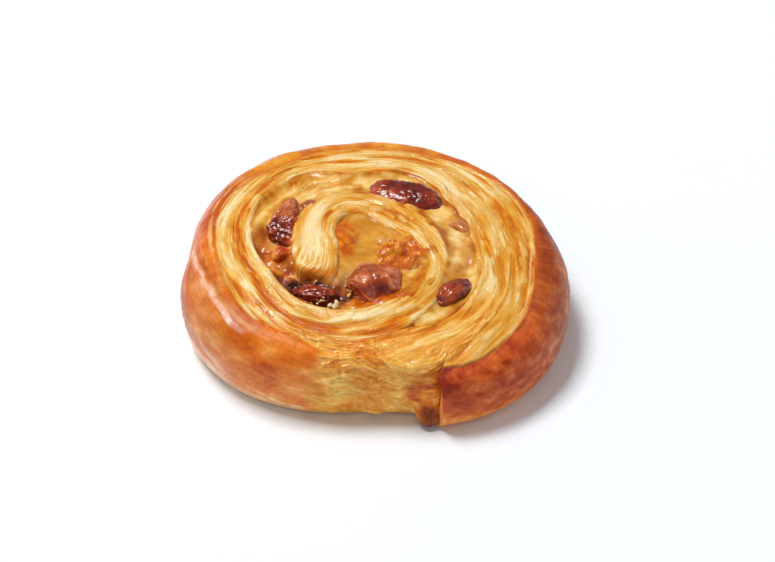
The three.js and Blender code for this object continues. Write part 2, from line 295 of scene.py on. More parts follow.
def surface_normals(points: Array) -> Array:
    """Unit normals of a grid of points whose columns close on themselves, from the cross product
    of its two directions.

    Args:
        points: the grid.

    Returns:
        A normal at each point.
    """
    padded = np.concatenate([points[:, -1:], points, points[:, :1]], axis=1)
    normal = np.cross(np.gradient(points, axis=0), (padded[:, 2:] - padded[:, :-2]) / 2.0)
    return normal / np.maximum(np.linalg.norm(normal, axis=-1, keepdims=True), 1e-9)


def signed_volume(points: Array, loops: Array, sizes: Array) -> float:
    """Sum of a closed mesh's cones to the origin, positive where its faces look outwards.

    Args:
        points: all points.
        loops: corner numbers, face after face.
        sizes: number of corners of each face.

    Returns:
        Six times the volume.
    """
    starts = np.cumsum(sizes) - sizes
    total = 0.0
    for k in (1, 2):
        some = sizes > k + 1
        a, b, c = (points[loops[starts[some] + n]] for n in (0, k, k + 1))
        total += float(np.einsum("ij,ij->", a, np.cross(b, c)))
    return total


@dataclass
class Looks:
    """What the finish reads at each point: colour, roughness, weight of the coat, and where the
    point is in the stuff, along, across and up."""

    tint: Array
    shine: Array
    glaze: Array
    lay: Array

    def widened(self) -> "Looks":
        """The looks of a grid, carried out over the rings and the middle points that close it."""
        return Looks(*(self.widen(v) for v in (self.tint, self.shine, self.glaze, self.lay)))

    @staticmethod
    def widen(values: Array) -> Array:
        """Values of a grid, with its first and last rows repeated for the closing rings.

        Args:
            values: a value at each point of the grid.

        Returns:
            The values, one row for each point.
        """
        more = len(END_RINGS)
        rows = np.concatenate([values[:1]] * more + [values] + [values[-1:]] * more)
        return np.concatenate([rows.reshape(-1, *values.shape[2:]), values[0, :1], values[-1, :1]])

    def attributes(self) -> tuple[tuple[str, str, str, Array], ...]:
        """Name, type, key and values of each point attribute.

        Returns:
            A row for each attribute.
        """
        colour = np.concatenate([np.clip(self.tint, 0.0, 1.0), np.ones((len(self.tint), 1))], axis=1)
        return (
            ("tint", "FLOAT_COLOR", "color", colour),
            ("shine", "FLOAT", "value", np.clip(self.shine, 0.05, 1.0)),
            ("glaze", "FLOAT", "value", np.clip(self.glaze, 0.0, 1.0)),
            ("lay", "FLOAT_VECTOR", "vector", self.lay),
        )


def link_mesh(
    name: str, points: Array, faces: list[Array], looks: Looks, material: bpy.types.Material
) -> bpy.types.Object:
    """Puts points, faces and looks into a mesh whose faces look outwards.

    Args:
        name: the object's name.
        points: all points, in millimetres.
        faces: arrays of corner numbers, one array for each number of corners.
        looks: what the finish reads at each point.
        material: the finish of the whole surface.

    Returns:
        The new object at the origin.
    """
    mesh = bpy.data.meshes.new(name)
    loops = np.concatenate([f.ravel() for f in faces])
    sizes = np.concatenate([np.full(len(f), f.shape[1]) for f in faces])
    if signed_volume(points, loops, sizes) < 0:
        loops = np.concatenate([f[:, ::-1].ravel() for f in faces])
    mesh.vertices.add(len(points))
    mesh.vertices.foreach_set("co", (points * MM).astype(np.float32).ravel())
    mesh.loops.add(len(loops))
    mesh.loops.foreach_set("vertex_index", loops.astype(np.int32))
    mesh.polygons.add(len(sizes))
    mesh.polygons.foreach_set("loop_start", (np.cumsum(sizes) - sizes).astype(np.int32))
    mesh.polygons.foreach_set("use_smooth", np.ones(len(sizes), bool))
    mesh.update(calc_edges=True)
    for attribute, kind, key, value in looks.attributes():
        mesh.attributes.new(attribute, kind, "POINT").data.foreach_set(key, value.astype(np.float32).ravel())
    mesh.validate()
    mesh.materials.append(material)
    made = bpy.data.objects.new(name, mesh)
    bpy.context.scene.collection.objects.link(made)
    return made


def close_grid(name: str, points: Array, looks: Looks, material: bpy.types.Material) -> bpy.types.Object:
    """Closes both ends of a grid with rings that shrink to a middle point, and makes the object.

    Args:
        name: the object's name.
        points: grid of points in millimetres, whose columns close on themselves.
        looks: what the finish reads at each point of the grid.
        material: the finish of the whole surface.

    Returns:
        The new object at the origin.
    """
    shares = np.array(END_RINGS)[:, None, None]
    middles = [points[row].mean(axis=0) for row in (0, -1)]
    start, end = (m + (points[row] - m) * shares for m, row in zip(middles, (0, -1)))
    grid = np.concatenate([start[::-1], points, end])
    flat = np.concatenate([grid.reshape(-1, 3), np.array(middles)])
    return link_mesh(name, flat, closed_faces(*grid.shape[:2]), looks.widened(), material)


def dress(piece: bpy.types.Object, node: str) -> None:
    """Lets a piece stand for a solid and rides it on the roll.

    Args:
        piece: the piece.
        node: the solid's node.
    """
    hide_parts(node)
    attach(piece, "root")


# ---- Finishes ----

Feed = bpy.types.NodeSocket | float | tuple[float, ...]
NOISE_MIDDLE = (0.3, 0.7)


@dataclass
class Nodes:
    """Short ways to add shader nodes to a material."""

    tree: bpy.types.NodeTree

    def feed(self, node: bpy.types.Node, inputs: dict[str | int, Feed]) -> None:
        """Joins each named input of a node to a socket, or sets it to a plain value.

        Args:
            node: a shader node.
            inputs: what goes to each named input.
        """
        for key, value in inputs.items():
            if isinstance(value, bpy.types.NodeSocket):
                self.tree.links.new(value, node.inputs[key])
            else:
                node.inputs[key].default_value = value

    def add(self, kind: str, inputs: dict[str | int, Feed] | None = None, **settings: str) -> bpy.types.Node:
        """Adds a shader node with its settings and inputs.

        Args:
            kind: the node's type, without its first word.
            inputs: what goes to its inputs.
            **settings: values of the node's own settings.

        Returns:
            The new node.
        """
        node = self.tree.nodes.new(f"ShaderNode{kind}")
        for name, value in settings.items():
            setattr(node, name, value)
        self.feed(node, inputs or {})
        return node

    def noise(self, where: bpy.types.NodeSocket, scale: float, detail: float) -> bpy.types.NodeSocket:
        """Value of a noise pattern at a place."""
        return self.add("TexNoise", {"Vector": where, "Scale": scale, "Detail": detail}).outputs["Fac"]

    def level(self, value: bpy.types.NodeSocket, depth: float) -> bpy.types.NodeSocket:
        """Factor round 1 from a noise value, whose middle part is stretched over the whole depth.

        Args:
            value: the noise value.
            depth: how far the factor goes to either side of 1.

        Returns:
            The factor's socket.
        """
        low, high = NOISE_MIDDLE
        ends = {"From Min": low, "From Max": high, "To Min": 1.0 - depth, "To Max": 1.0 + depth}
        return self.add("MapRange", {"Value": value, **ends}).outputs["Result"]

    def scaled(self, colour: bpy.types.NodeSocket, factor: bpy.types.NodeSocket) -> bpy.types.NodeSocket:
        """A colour times a factor."""
        return self.add("VectorMath", {0: colour, "Scale": factor}, operation="SCALE").outputs["Vector"]

    def bump(
        self, height: bpy.types.NodeSocket, depth: float, over: bpy.types.NodeSocket | None = None
    ) -> bpy.types.NodeSocket:
        """Normal of a bump of a depth in millimetres, over another one where given.

        Args:
            height: height from 0 to 1.
            depth: depth at height 1.
            over: normal under it.

        Returns:
            The normal's socket.
        """
        below = {} if over is None else {"Normal": over}
        inputs = {"Height": height, "Strength": 1.0, "Distance": depth * MM, **below}
        return self.add("Bump", inputs).outputs["Normal"]


@dataclass(frozen=True)
class Finish:
    """A material whose colour, roughness and glaze follow the surface's own attributes.

    Lengths are in millimetres. Spots lie anyhow in space, threads follow the leaves of the dough.
    """

    name: str
    spot_depth: float
    spot_size: float
    pore_depth: float
    pore_size: float
    coat_roughness: float
    soak: float
    soak_depth: float
    thread_depth: float = 0.0
    thread_size: Place = (1.0, 1.0, 1.0)
    ridge_depth: float = 0.0
    soak_colour: Place = (1.0, 0.42, 0.16)
    gleam: float = 0.25

    def material(self) -> bpy.types.Material:
        """Builds the material: tinted, mottled in spots and threads, finely bumped, glazed, and a
        little see-through near its surface.

        Returns:
            The new material.
        """
        made = bpy.data.materials.new(self.name)
        made.use_nodes = True
        nodes = Nodes(made.node_tree)
        names = ("tint", "shine", "glaze", "lay")
        tint, shine, glaze, lay = (nodes.add("Attribute", attribute_name=name) for name in names)
        place = nodes.add("TexCoord").outputs["Object"]
        strip = nodes.add("VectorMath", {0: lay.outputs["Vector"], 1: self.thread_size}, operation="DIVIDE")
        spots = nodes.noise(place, 1.0 / (self.spot_size * MM), 4.0)
        threads = nodes.noise(strip.outputs["Vector"], 1.0, 3.0)
        pores = nodes.noise(place, 1.0 / (self.pore_size * MM), 3.0)
        stain = nodes.scaled(tint.outputs["Color"], nodes.level(spots, self.spot_depth))
        rough_skin = nodes.bump(threads, self.ridge_depth, nodes.bump(pores, self.pore_depth))
        nodes.feed(made.node_tree.nodes["Principled BSDF"], {
            "Base Color": nodes.scaled(stain, nodes.level(threads, self.thread_depth)),
            "Roughness": shine.outputs["Fac"],
            "Specular IOR Level": self.gleam,
            "Coat Weight": glaze.outputs["Fac"],
            "Coat Roughness": self.coat_roughness,
            "Subsurface Weight": self.soak,
            "Subsurface Radius": self.soak_colour,
            "Subsurface Scale": self.soak_depth * MM,
            "Normal": rough_skin,
            "Coat Normal": rough_skin,
        })
        return made


class Baked(Enum):
    """The finishes of the roll."""

    DOUGH = Finish(
        "baked_dough", spot_depth=0.07, spot_size=0.9, pore_depth=0.03, pore_size=0.5, coat_roughness=0.08,
        soak=0.05, soak_depth=0.6, gleam=0.15, thread_depth=0.12, thread_size=(3.0, 0.45, 0.8),
        ridge_depth=0.10,
    )
    CREAM = Finish(
        "baked_custard", spot_depth=0.06, spot_size=1.6, pore_depth=0.04, pore_size=1.5, coat_roughness=0.07,
        soak=0.08, soak_depth=1.2, gleam=0.15,
    )
    RAISIN = Finish(
        "raisin_skin", spot_depth=0.25, spot_size=1.6, pore_depth=0.14, pore_size=0.8, coat_roughness=0.05,
        soak=0.12, soak_depth=1.0, soak_colour=(1.0, 0.2, 0.05), gleam=0.08,
    )
    CRUMB = Finish(
        "pale_crumb", spot_depth=0.12, spot_size=0.4, pore_depth=0.05, pore_size=0.2, coat_roughness=0.3,
        soak=0.2, soak_depth=0.6,
    )


# ---- The roll's shape, shared by dough, cream and raisins ----


@dataclass(frozen=True)
class Roll:
    """How the strip is wound: the same named sizes that its solids were made from."""

    core: Pair = (-3.0, -2.5)
    tail_bearing: float = -65.5
    strip_end: float = 1030.0
    tail_slant: Pair = (4.6, 26.0)
    outer_face: Stations = (
        (0, 44.2), (14, 46.4), (35, 46.4), (60, 44.1), (112, 45.4), (150, 43.2), (210, 41.2), (262, 36.6),
        (312, 40.4), (340, 39.8), (360, 41.6), (378, 40.4), (400, 39), (436, 36), (482, 38), (527, 35.8),
        (552, 37.2), (627, 31.4), (672, 32.4), (712, 31), (738, 27), (756, 23.6), (817, 19),
        (862, 19.6), (910, 20.8), (960, 17.8), (1000, 18.3), (1030, 19.3),
    )
    inner_face: Stations = (
        (350, 31), (378, 32.4), (400, 31.2), (422, 27.4), (462, 27.4), (492, 31.6), (520, 28.6),
        (549, 33), (627, 25), (662, 25), (712, 21.6), (756, 17.2), (788, 11.6), (832, 8.6),
        (892, 11.2), (932, 7.9), (968, 6.2), (1000, 7.4), (1016, 9.6), (1030, 12.9),
    )
    belly: Stations = (
        (0, 48.9), (14, 50.8), (34, 51.5), (64, 49.3), (82, 46.8), (100, 46.1), (140, 45.6), (172, 47.4),
        (196, 48.8), (222, 48.3), (240, 47.7), (252, 49.3), (264, 49.9), (288, 48.4), (312, 44.7),
        (334, 41.4), (346, 41.6), (360, 43.4),
    )
    channel_start: Pair = (352.0, 374.0)
    last_touch: float = 712.0
    knob_rounding: float = 17.0
    knob_bluntness: float = 3.0
    knob_slant: Pair = (24.0, 80.0)
    crown_height: float = 26.0
    rim_drop: float = 4.6
    rim_drop_power: float = 2.6
    rim_radius: float = 44.0
    lows: tuple[Place, ...] = ((-98, 58, 7.4), (-48, 46, 2.6), (110, 104, -1.9))
    knob_rise: float = 1.2
    knob_climb: Pair = (860.0, 930.0)
    knob_tip_drop: float = 4.2
    cream_drop: float = 1.2
    cream_wave: float = 0.25
    wave_rate: Pair = (0.7, 0.55)
    cream_mounds: tuple[tuple[float, float, float, float, float], ...] = (
        (-8.6, -1.5, 5.0, 10, 1.5), (-25.5, -3, 8, 12, -2.0), (-20, -14, 9, 9, -2.3),
        (-11, -20.5, 12, 6, -2.4), (-4.5, -15.5, 5, 6, -1.4), (6, -5, 8.5, 7, 0.5),
    )

    def bearing(self, winding: Array) -> Array:
        """Bearing from the core at a winding angle."""
        return self.tail_bearing + winding

    def plan(self, winding: Array, radius: Array) -> tuple[Array, Array]:
        """Plan position of a point at a radius from the core."""
        angle = np.radians(self.bearing(winding))
        return self.core[0] + radius * np.cos(angle), self.core[1] + radius * np.sin(angle)

    def polar(self, x: Array, y: Array) -> tuple[Array, Array]:
        """Radius from the core, and winding angle within a turn of the loose end, of a place in plan."""
        across, up = x - self.core[0], y - self.core[1]
        return np.hypot(across, up), np.degrees(np.arctan2(up, across)) - self.tail_bearing

    def knob_closing(self, winding: Array) -> Array:
        """How far the blunt inner end has closed: 1 along the strip, falling to 0 at its very tip."""
        s = np.clip((winding - (self.strip_end - self.knob_rounding)) / self.knob_rounding, 0.0, 1.0)
        return (1.0 - s**self.knob_bluntness) ** (1.0 / self.knob_bluntness)

    def knob_lag(self, winding: Array, across: Array) -> Array:
        """Degrees by which the outer side of the inner end stops short, which slants its cut."""
        most, over = self.knob_slant
        return most * across * rise(winding, self.strip_end - over, self.strip_end)

    def fused(self, winding: Array) -> Array:
        """1 where a turn has baked onto the next one in, 0 where the cream channel parts them."""
        return fall(winding, *self.channel_start)

    def faces(self, winding: Array) -> tuple[Array, Array]:
        """Radii of the strip's outer and inner faces at the height of its top.

        Args:
            winding: winding angles.

        Returns:
            The outer and the inner radius from the core.
        """
        outer = along(self.outer_face, winding)
        touching = along(self.outer_face, np.minimum(winding + 360.0, self.last_touch))
        inner = mix(touching, along(self.inner_face, winding), 1.0 - self.fused(winding))
        middle, closing = (outer + inner) / 2.0, self.knob_closing(winding)
        return mix(middle, outer, closing), mix(middle, inner, closing)

    def crown(self, winding: Array, radius: Array) -> Array:
        """Height of the dough's crown line: a plateau that falls away towards the rim, lower where
        the bared front and the loose end sank, and higher on the inner end.

        Args:
            winding: winding angles.
            radius: radii from the core.

        Returns:
            The heights.
        """
        bearing, outward = self.bearing(winding), radius / self.rim_radius
        low = sum(drop * hump(bearing, at, wide) for at, wide, drop in self.lows)
        knob = self.knob_rise * rise(winding, *self.knob_climb)
        knob = knob - self.knob_tip_drop * (1 - self.knob_closing(winding))
        return self.crown_height - self.rim_drop * outward**self.rim_drop_power - low * outward**3 + knob

    def belly_radius(self, winding: Array) -> Array:
        """Radius from the core of the side wall's widest line, which is set out from the origin.

        Args:
            winding: winding angles.

        Returns:
            The radii.
        """
        angle = np.radians(self.bearing(winding))
        off = self.core[0] * np.cos(angle) + self.core[1] * np.sin(angle)
        reach = along(self.belly, winding)
        return -off + np.sqrt(off**2 - self.core[0] ** 2 - self.core[1] ** 2 + reach**2)

    def crown_at(self, x: Array, y: Array) -> Array:
        """Height of the crown line at a place in plan."""
        radius, winding = self.polar(x, y)
        return self.crown(winding, radius)

    def cream_level(self, x: Array, y: Array) -> Array:
        """Height of the cream's surface without its blisters: the crown line, lowered, with gentle
        waves, a few wide soft mounds and the hollows where it baked away.

        Args:
            x: first coordinate in plan.
            y: second coordinate in plan.

        Returns:
            The heights.
        """
        wave = self.cream_wave * np.sin(x * self.wave_rate[0] + 1.0) * np.cos(y * self.wave_rate[1])
        mounds = sum(high * spot(x, y, (cx, cy), (hx, hy), 0.8) for cx, cy, hx, hy, high in self.cream_mounds)
        return self.crown_at(x, y) - self.cream_drop + wave + mounds


# ---- Dough ----


class Tone(Palette):
    """Colours of the dough, each from its browned creases to its pale edges."""

    LEAF = ((186, 88, 4), (210, 124, 14), (222, 154, 50), (230, 178, 90), (238, 199, 126), (245, 215, 160))
    BARED = ((190, 94, 18), (222, 132, 36), (240, 162, 58), (248, 186, 84), (255, 214, 124))
    LEFT = ((190, 76, 8), (214, 102, 20), (230, 124, 36), (242, 156, 72), (252, 206, 146))
    BACK = ((184, 84, 12), (210, 118, 20), (226, 152, 40), (236, 178, 74), (244, 204, 120))
    RIGHT = ((136, 48, 14), (160, 67, 20), (178, 85, 28), (200, 112, 46), (228, 156, 86))
    TAIL = ((150, 42, 14), (186, 72, 24), (206, 92, 34), (224, 116, 44), (244, 154, 74))
    FLAP = ((190, 78, 14), (226, 116, 26), (244, 144, 44), (252, 174, 76), (255, 210, 130))
    SIDE = ((188, 110, 34), (216, 146, 58), (230, 170, 88))
    GLOW = ((198, 88, 2), (226, 120, 8), (236, 154, 36))
    SCORCHED = ((84, 24, 14), (104, 34, 18))
    SLIT = ((70, 44, 18), (104, 70, 30))
    # Pale dry dough, also used for a painted highlight on the inner end.
    PALE_DOUGH_AND_HIGHLIGHT = ((206, 154, 78), (238, 200, 128), (248, 222, 164))
    OLIVE = ((196, 132, 40), (220, 168, 76))
    # Pale dry glaze for real scratches, also used for a painted highlight and a painted reflection on the
    # crust.
    DRY_GLAZE_AND_HIGHLIGHT = ((236, 172, 134), (255, 228, 210))
    # Greyish pink of a painted sheen.
    SHEEN = ((190, 112, 76), (222, 160, 126))


@dataclass(frozen=True)
class Patch:
    """A soft oval patch: its winding and its place, half sizes of both, its strength, and the share
    of its radius over which its edge fades. The place is the share across the strip on the cut
    face, and the height or the way past the crust's edge on the side."""

    winding: float
    place: float
    half_winding: float
    half_place: float
    strength: float = 1.0
    soft: float = 0.6

    def mask(self, winding: Array, place: Array) -> Array:
        """The patch's strength at each point."""
        middle, half = (self.winding, self.place), (self.half_winding, self.half_place)
        return self.strength * spot(winding, place, middle, half, self.soft)


def cover(patches: tuple[Patch, ...], winding: Array, place: Array) -> Array:
    """Summed strength of patches at each point of the strip."""
    return sum(p.mask(winding, place) for p in patches)


def leans(*rows: tuple[float, float, float, float, float]) -> tuple[Patch, ...]:
    """Patches that are browner (strength less than 0) or paler (more than 0) than the strip."""
    return tuple(Patch(*row, soft=0.7) for row in rows)


@dataclass
class Cut:
    """Sections of the strip as arrays of one row a ring: where each point lies in the dough."""

    radius: Array
    height: Array
    across: Array
    width: Array
    past_rim: Array
    on_wall: Array
    winding: Array
    run: Array | None = None


@dataclass
class Leaves:
    """The leaves of the cut face at each point of the strip, each from -1 to 1 but for the band."""

    band: Array
    stripe: Array
    thread: Array
    broad: Array
    fissure: Array
    mottle: Array
    glint: Array


@dataclass(frozen=True)
class Length:
    """One length of the strip: its windings, its rings, and points over its top and outside."""

    name: str
    start: float
    end: float
    rings: int
    top_points: int
    wall_points: int

    def meets(self) -> tuple[bool, bool]:
        """Whether it meets another length at its start, and at its end."""
        return self.start > 0.0, self.end < Roll.strip_end - 1.0


@dataclass
class DoughStrip:
    """The strip of layered dough: leaves on its cut face and a glazed crust on its outside.

    A span holds the windings at which a thing starts to show, shows fully, starts to fade and is
    gone. A fade holds the two ends of its fading, and a shade the middle and half width of a hump.
    """

    roll: Roll
    lengths: tuple[Length, ...] = (
        Length("dough_outer_turn", 0.0, 292.0, 700, 36, 60),
        Length("dough_bared_front", 292.0, 364.0, 400, 40, 104),
        Length("dough_second_turn", 364.0, 704.0, 1080, 62, 8),
        Length("dough_inner_turn", 704.0, 1029.6, 940, 66, 14),
    )
    foot_points: int = 4
    round_points: int = 9
    under_points: int = 2
    channel_rounding: float = 1.4
    crease_rounding: float = 0.3
    round_limit: float = 2.2
    fuse_deep: float = 2.4
    fuse_below: float = 4.5
    belly_share: float = 0.5
    foot_inset: float = 4.4
    hidden_fade: Pair = (360.0, 392.0)
    bared: Place = (320.0, 38.0, 4.6)
    seam_sink: float = 0.05
    bands: float = 2.4
    stripes: float = 7.0
    threads: float = 26.0
    band_height: float = 0.14
    stripe_height: float = 0.20
    thread_height: float = 0.05
    fissure_depth: float = 0.06
    mottle_height: float = 0.10
    glint_height: float = 0.12
    blister_height: float = 0.28
    lip_height: float = 0.22
    slit_depth: float = 0.7
    large_leaf: tuple[float, int] = (3.1, 34)
    small_leaf: tuple[float, int] = (1.5, 134)
    flake: tuple[float, int] = (0.8, 234)
    crust_reach: Stations = (
        (0, -1.9), (5, -1.5), (11, -1.3), (60, -1.3), (78, -0.5), (90, 0.1), (102, -0.2), (116, -1.5),
        (128, -2.2), (142, -2.8), (157, -2.0), (169, -1.7), (180, -2.4), (193, -2.4), (208, -1.4),
        (219, -1.0), (260, -0.7), (272, -0.6), (285, -1.1), (307, -1.1), (320, -0.2),
    )
    crust_end: float = 317.0
    slant: float = 0.22
    pore_size: float = 1.1
    pore_fade: Pair = (40, 110)
    front_span: Span = (296, 320, 362, 372)
    streak_span: Span = (238, 250, 284, 293)
    groove_span: Span = (228, 240, 270, 285)
    lined_span: Span = (190, 215, 288, 300)
    back_span: Span = (118, 140, 200, 235)
    pale_edge_span: Span = (12, 40, 100, 130)
    browned_span: Span = (196, 225, 290, 310)
    right_fade: Pair = (100, 135)
    tail_fade: Pair = (25, 50)
    edge_fade: Pair = (14, 34)
    gloss_fade: Pair = (60, 150)
    flap_foot: Pair = (352, 358)
    flap_end: Pair = (361, 363)
    knob_highlight: Pair = (965, 995)
    left_shade: Pair = (228, 44)
    right_shade: Pair = (84, 40)
    free_side: Pair = (712.0, 738.0)
    knob_start: Pair = (925.0, 965.0)
    dull_front: Pair = (-108.0, 60.0)
    flap_left: Stations = ((0, 356.7), (2, 355.4), (5, 353), (9, 351), (12, 351), (15, 354), (18, 358))
    streak_path: Stations = ((238, 7.4), (247, 6.4), (262, 5.0), (279, 4.1), (291, 4.7))
    tones: tuple[Patch, ...] = leans(
        (562, 0.70, 14, 0.16, -0.5), (588, 0.72, 24, 0.14, -0.5), (185, 0.45, 30, 0.16, -0.15),
        (503, 0.10, 15, 0.16, -0.6), (530, 0.85, 20, 0.14, -0.4), (92, 0.30, 8, 0.13, -0.6),
        (108, 0.62, 12, 0.10, -0.4), (424, 0.40, 12, 0.22, -0.5), (58, 0.12, 10, 0.14, -0.45),
        (385, 0.36, 11, 0.22, -0.5), (672, 0.84, 22, 0.24, -0.78), (312, 0.05, 20, 0.14, -0.5),
        (706, 0.86, 20, 0.20, -0.78), (340, 0.08, 16, 0.12, -0.5), (287, 0.26, 17, 0.12, -0.65),
        (645, 0.92, 14, 0.14, -0.45), (735, 0.15, 20, 0.16, -0.4), (860, 0.85, 40, 0.16, -0.3),
        (918, 0.30, 14, 0.10, -0.35), (445, 0.84, 32, 0.18, 0.4), (120, 0.34, 26, 0.18, 0.35),
        (410, 0.00, 16, 0.14, 0.4), (655, 0.22, 36, 0.26, 0.3), (604, 0.16, 26, 0.24, 0.4),
        (700, 0.30, 20, 0.22, 0.3), (216, 0.50, 12, 0.14, 0.3), (975, 0.55, 52, 0.42, 0.32),
        (900, 0.55, 40, 0.30, 0.25), (250, 0.42, 26, 0.2, 0.25), (160, 0.4, 30, 0.16, 0.25),
        (478, 0.5, 30, 0.2, 0.3), (173, 0.2, 26, 0.2, 0.35), (251, 0.1, 20, 0.16, 0.3),
        (275, 0.48, 13, 0.24, -0.42), (300, 0.62, 15, 0.16, -0.42), (303, 0.30, 16, 0.10, -0.4),
    )
    blistered: tuple[Patch, ...] = (Patch(405, 0.12, 26, 0.30), Patch(60, 0.2, 14, 0.2))
    tanned: tuple[Patch, ...] = (Patch(374, 0.8, 34, 0.9), Patch(350, 0.2, 26, 0.7), Patch(4, 0.2, 22, 0.7))
    floury: tuple[Patch, ...] = (
        Patch(632, 0.08, 80, 0.42), Patch(856, 0.95, 14, 0.3), Patch(462, 0.1, 56, 0.35, 0.6, 0.7),
    )
    slit: Patch = Patch(470, 0.28, 5.5, 0.05, 1.0, 0.8)
    slit_shade: Patch = Patch(470, 0.28, 5, 0.035, 0.95)
    scorch: Patch = Patch(359.0, 2.6, 6.0, 4.6, soft=0.5)
    split: Patch = Patch(361.0, 1.6, 1.4, 3.0, 3.0)
    dull_shoulder: Patch = Patch(285, 1.0, 52, 7.5, 0.5, 0.5)
    dark_shoulder: Patch = Patch(268, 17, 36, 11, 0.22, 0.7)
    dark_front: Patch = Patch(295, 12, 30, 8, 0.1, 0.8)
    golden: Patch = Patch(64, 15, 16, 6, 0.3, 1.0)
    scratched: Patch = Patch(250, 7.5, 56, 9.5, 1.0, 0.7)
    pale_foot_and_reflection: Patch = Patch(268, 2, 48, 7, 0.65, 0.8)
    painted_sheen: Patch = Patch(40, 9, 46, 9, 1.0, 0.8)

    # -- smooth form --

    def section(self, winding: Array, length: Length) -> Cut:
        """Cross-sections of the strip.

        Up the inner face, a quarter round over it, the flat of the top, then either a crust that
        swells to the belly and tucks in at the foot, in two quarter ovals, or a rounded edge and a
        plain face, and back along the underside.

        Args:
            winding: winding angle of each ring.
            length: the length that the rings are part of.

        Returns:
            The sections.
        """
        w, roll = winding[:, None], self.roll
        outer, inner = roll.faces(w)
        fused, width = roll.fused(w), outer - inner
        most = width / self.round_limit
        inner_round = np.minimum(mix(self.channel_rounding, self.crease_rounding, fused), most)
        free = rise(w, *self.free_side)
        outer_round = np.minimum(mix(self.crease_rounding, self.channel_rounding, free), most)
        on_wall = fall(w, *self.hidden_fade)
        at, half, deep = self.bared
        shoulder = deep * near(w - at, half * 0.3, half)
        start = outer - mix(outer_round, shoulder, on_wall)

        foot = inner - fused * self.fuse_deep
        up = np.linspace(0.0, 1.0, self.foot_points)[None, :]
        low_top = roll.crown(w, inner) - inner_round - fused * self.fuse_below
        parts = [(foot + 0.0 * up, low_top * up)]
        turn = np.linspace(0.0, math.pi / 2, self.round_points, endpoint=False)[None, :]
        r = inner + inner_round * (1.0 - np.cos(turn))
        parts.append((r, roll.crown(w, r) - inner_round * (1.0 - np.sin(turn))))
        r = mix(inner + inner_round, start, np.linspace(0.0, 1.0, length.top_points)[None, :])
        parts.append((r, roll.crown(w, r)))

        share = np.linspace(0.0, 1.0, length.wall_points + 1)[None, 1:]
        upper = np.clip(share * 2.0, 0.0, 1.0) * math.pi / 2
        lower = np.clip(share * 2.0 - 1.0, 0.0, 1.0) * math.pi / 2
        rim = roll.crown(w, start)
        belly_height = rim * self.belly_share
        belly = mix(outer, roll.belly_radius(w), on_wall)
        inset = self.foot_inset * on_wall
        first = share <= 0.5
        wall_r = np.where(first, mix(start, belly, np.sin(upper)), mix(belly - inset, belly, np.cos(lower)))
        wall_z = np.where(first, mix(belly_height, rim, np.cos(upper)), belly_height * (1.0 - np.sin(lower)))
        edge_r = np.where(first, mix(start, outer, np.sin(upper)), outer)
        edge_low = rim - outer_round
        edge_z = np.where(first, mix(edge_low, rim, np.cos(upper)), edge_low * (2.0 - 2.0 * share))
        parts.append((mix(edge_r, wall_r, on_wall), mix(edge_z, wall_z, on_wall)))
        back = np.linspace(0.0, 1.0, self.under_points + 2)[None, 1:-1]
        parts.append((mix(parts[-1][0][:, -1:], foot, back), 0.0 * w + 0.0 * back))

        radius = np.concatenate([p[0] for p in parts], axis=1)
        height = np.concatenate([p[1] for p in parts], axis=1)
        across = (radius - inner) / width
        step = np.hypot(np.diff(radius, axis=1), np.diff(height, axis=1))
        way = np.concatenate([np.zeros_like(w), np.cumsum(step, axis=1)], axis=1)
        rim_at = self.foot_points + self.round_points + length.top_points - 1
        still = 0.0 * radius
        past_rim = way - way[:, rim_at : rim_at + 1]
        return Cut(radius, height, across, width + still, past_rim, on_wall + still, w + still)

    def run_along(self, winding: Array) -> Array:
        """How far along the strip's middle line each winding lies: its radius times the angle, summed.

        Args:
            winding: winding angles.

        Returns:
            The lengths in millimetres.
        """
        steps = np.arange(0.0, self.roll.strip_end + 1.0)
        outer, inner = self.roll.faces(steps)
        middle = (outer + inner) / 2.0
        run = np.concatenate([[0.0], np.cumsum((middle[1:] + middle[:-1]) / 2.0)]) * math.radians(1.0)
        return np.interp(winding, steps, run)

    def smooth(self, length: Length) -> tuple[Cut, Array]:
        """The smooth form of one length, with one more ring past each end that meets another length.

        Args:
            length: which length.

        Returns:
            Its sections and its points.
        """
        winding = np.linspace(length.start, length.end, length.rings)
        step = winding[1] - winding[0]
        more_before, more_after = length.meets()
        before = [length.start - step] * more_before
        winding = np.concatenate([before, winding, [length.end + step] * more_after])
        cut = self.section(winding, length)
        lag, over = self.roll.tail_slant
        behind = lag * (1.0 - np.clip(cut.across, 0.0, 1.0)) * fall(cut.winding, 0.0, over)
        ahead = self.roll.knob_lag(cut.winding, cut.across)
        x, y = self.roll.plan(cut.winding + behind - ahead, cut.radius)
        cut.run = self.run_along(winding)[:, None] + 0.0 * x
        return cut, np.stack([x, y, cut.height], axis=-1)

    # -- what shows where --

    def crust_past(self, cut: Cut) -> Array:
        """How far past the crust's edge each point lies, in millimetres down the side."""
        ragged = 0.35 * rough(cut.run / 4.0, cut.past_rim / 3.0, 11)
        return cut.past_rim - along(self.crust_reach, cut.winding) + ragged

    def crust(self, cut: Cut) -> Array:
        """1 where the baked crust shows, which ends softly where the front is bared.

        Args:
            cut: the sections.

        Returns:
            The mask, 0 to 1.
        """
        end = self.crust_end + 2.0 * grain(cut.run / 5.0, cut.height / 3.0, 12) + 0.2 * (cut.height - 8.0)
        edge = rise(self.crust_past(cut), -0.2, 0.45) * cut.on_wall
        return edge * fall(cut.winding - end, -3.0, 3.0)

    def front(self, cut: Cut) -> Array:
        """1 where the bared front shows its torn leaves.

        Args:
            cut: the sections.

        Returns:
            The mask, 0 to 1.
        """
        sides = window(cut.winding, *self.front_span)
        ragged = 1.6 * grain(cut.run / 4.0, cut.past_rim / 3.0, 13)
        return sides * rise(cut.past_rim + ragged, -8.5, 0.5) * (1.0 - self.crust(cut))

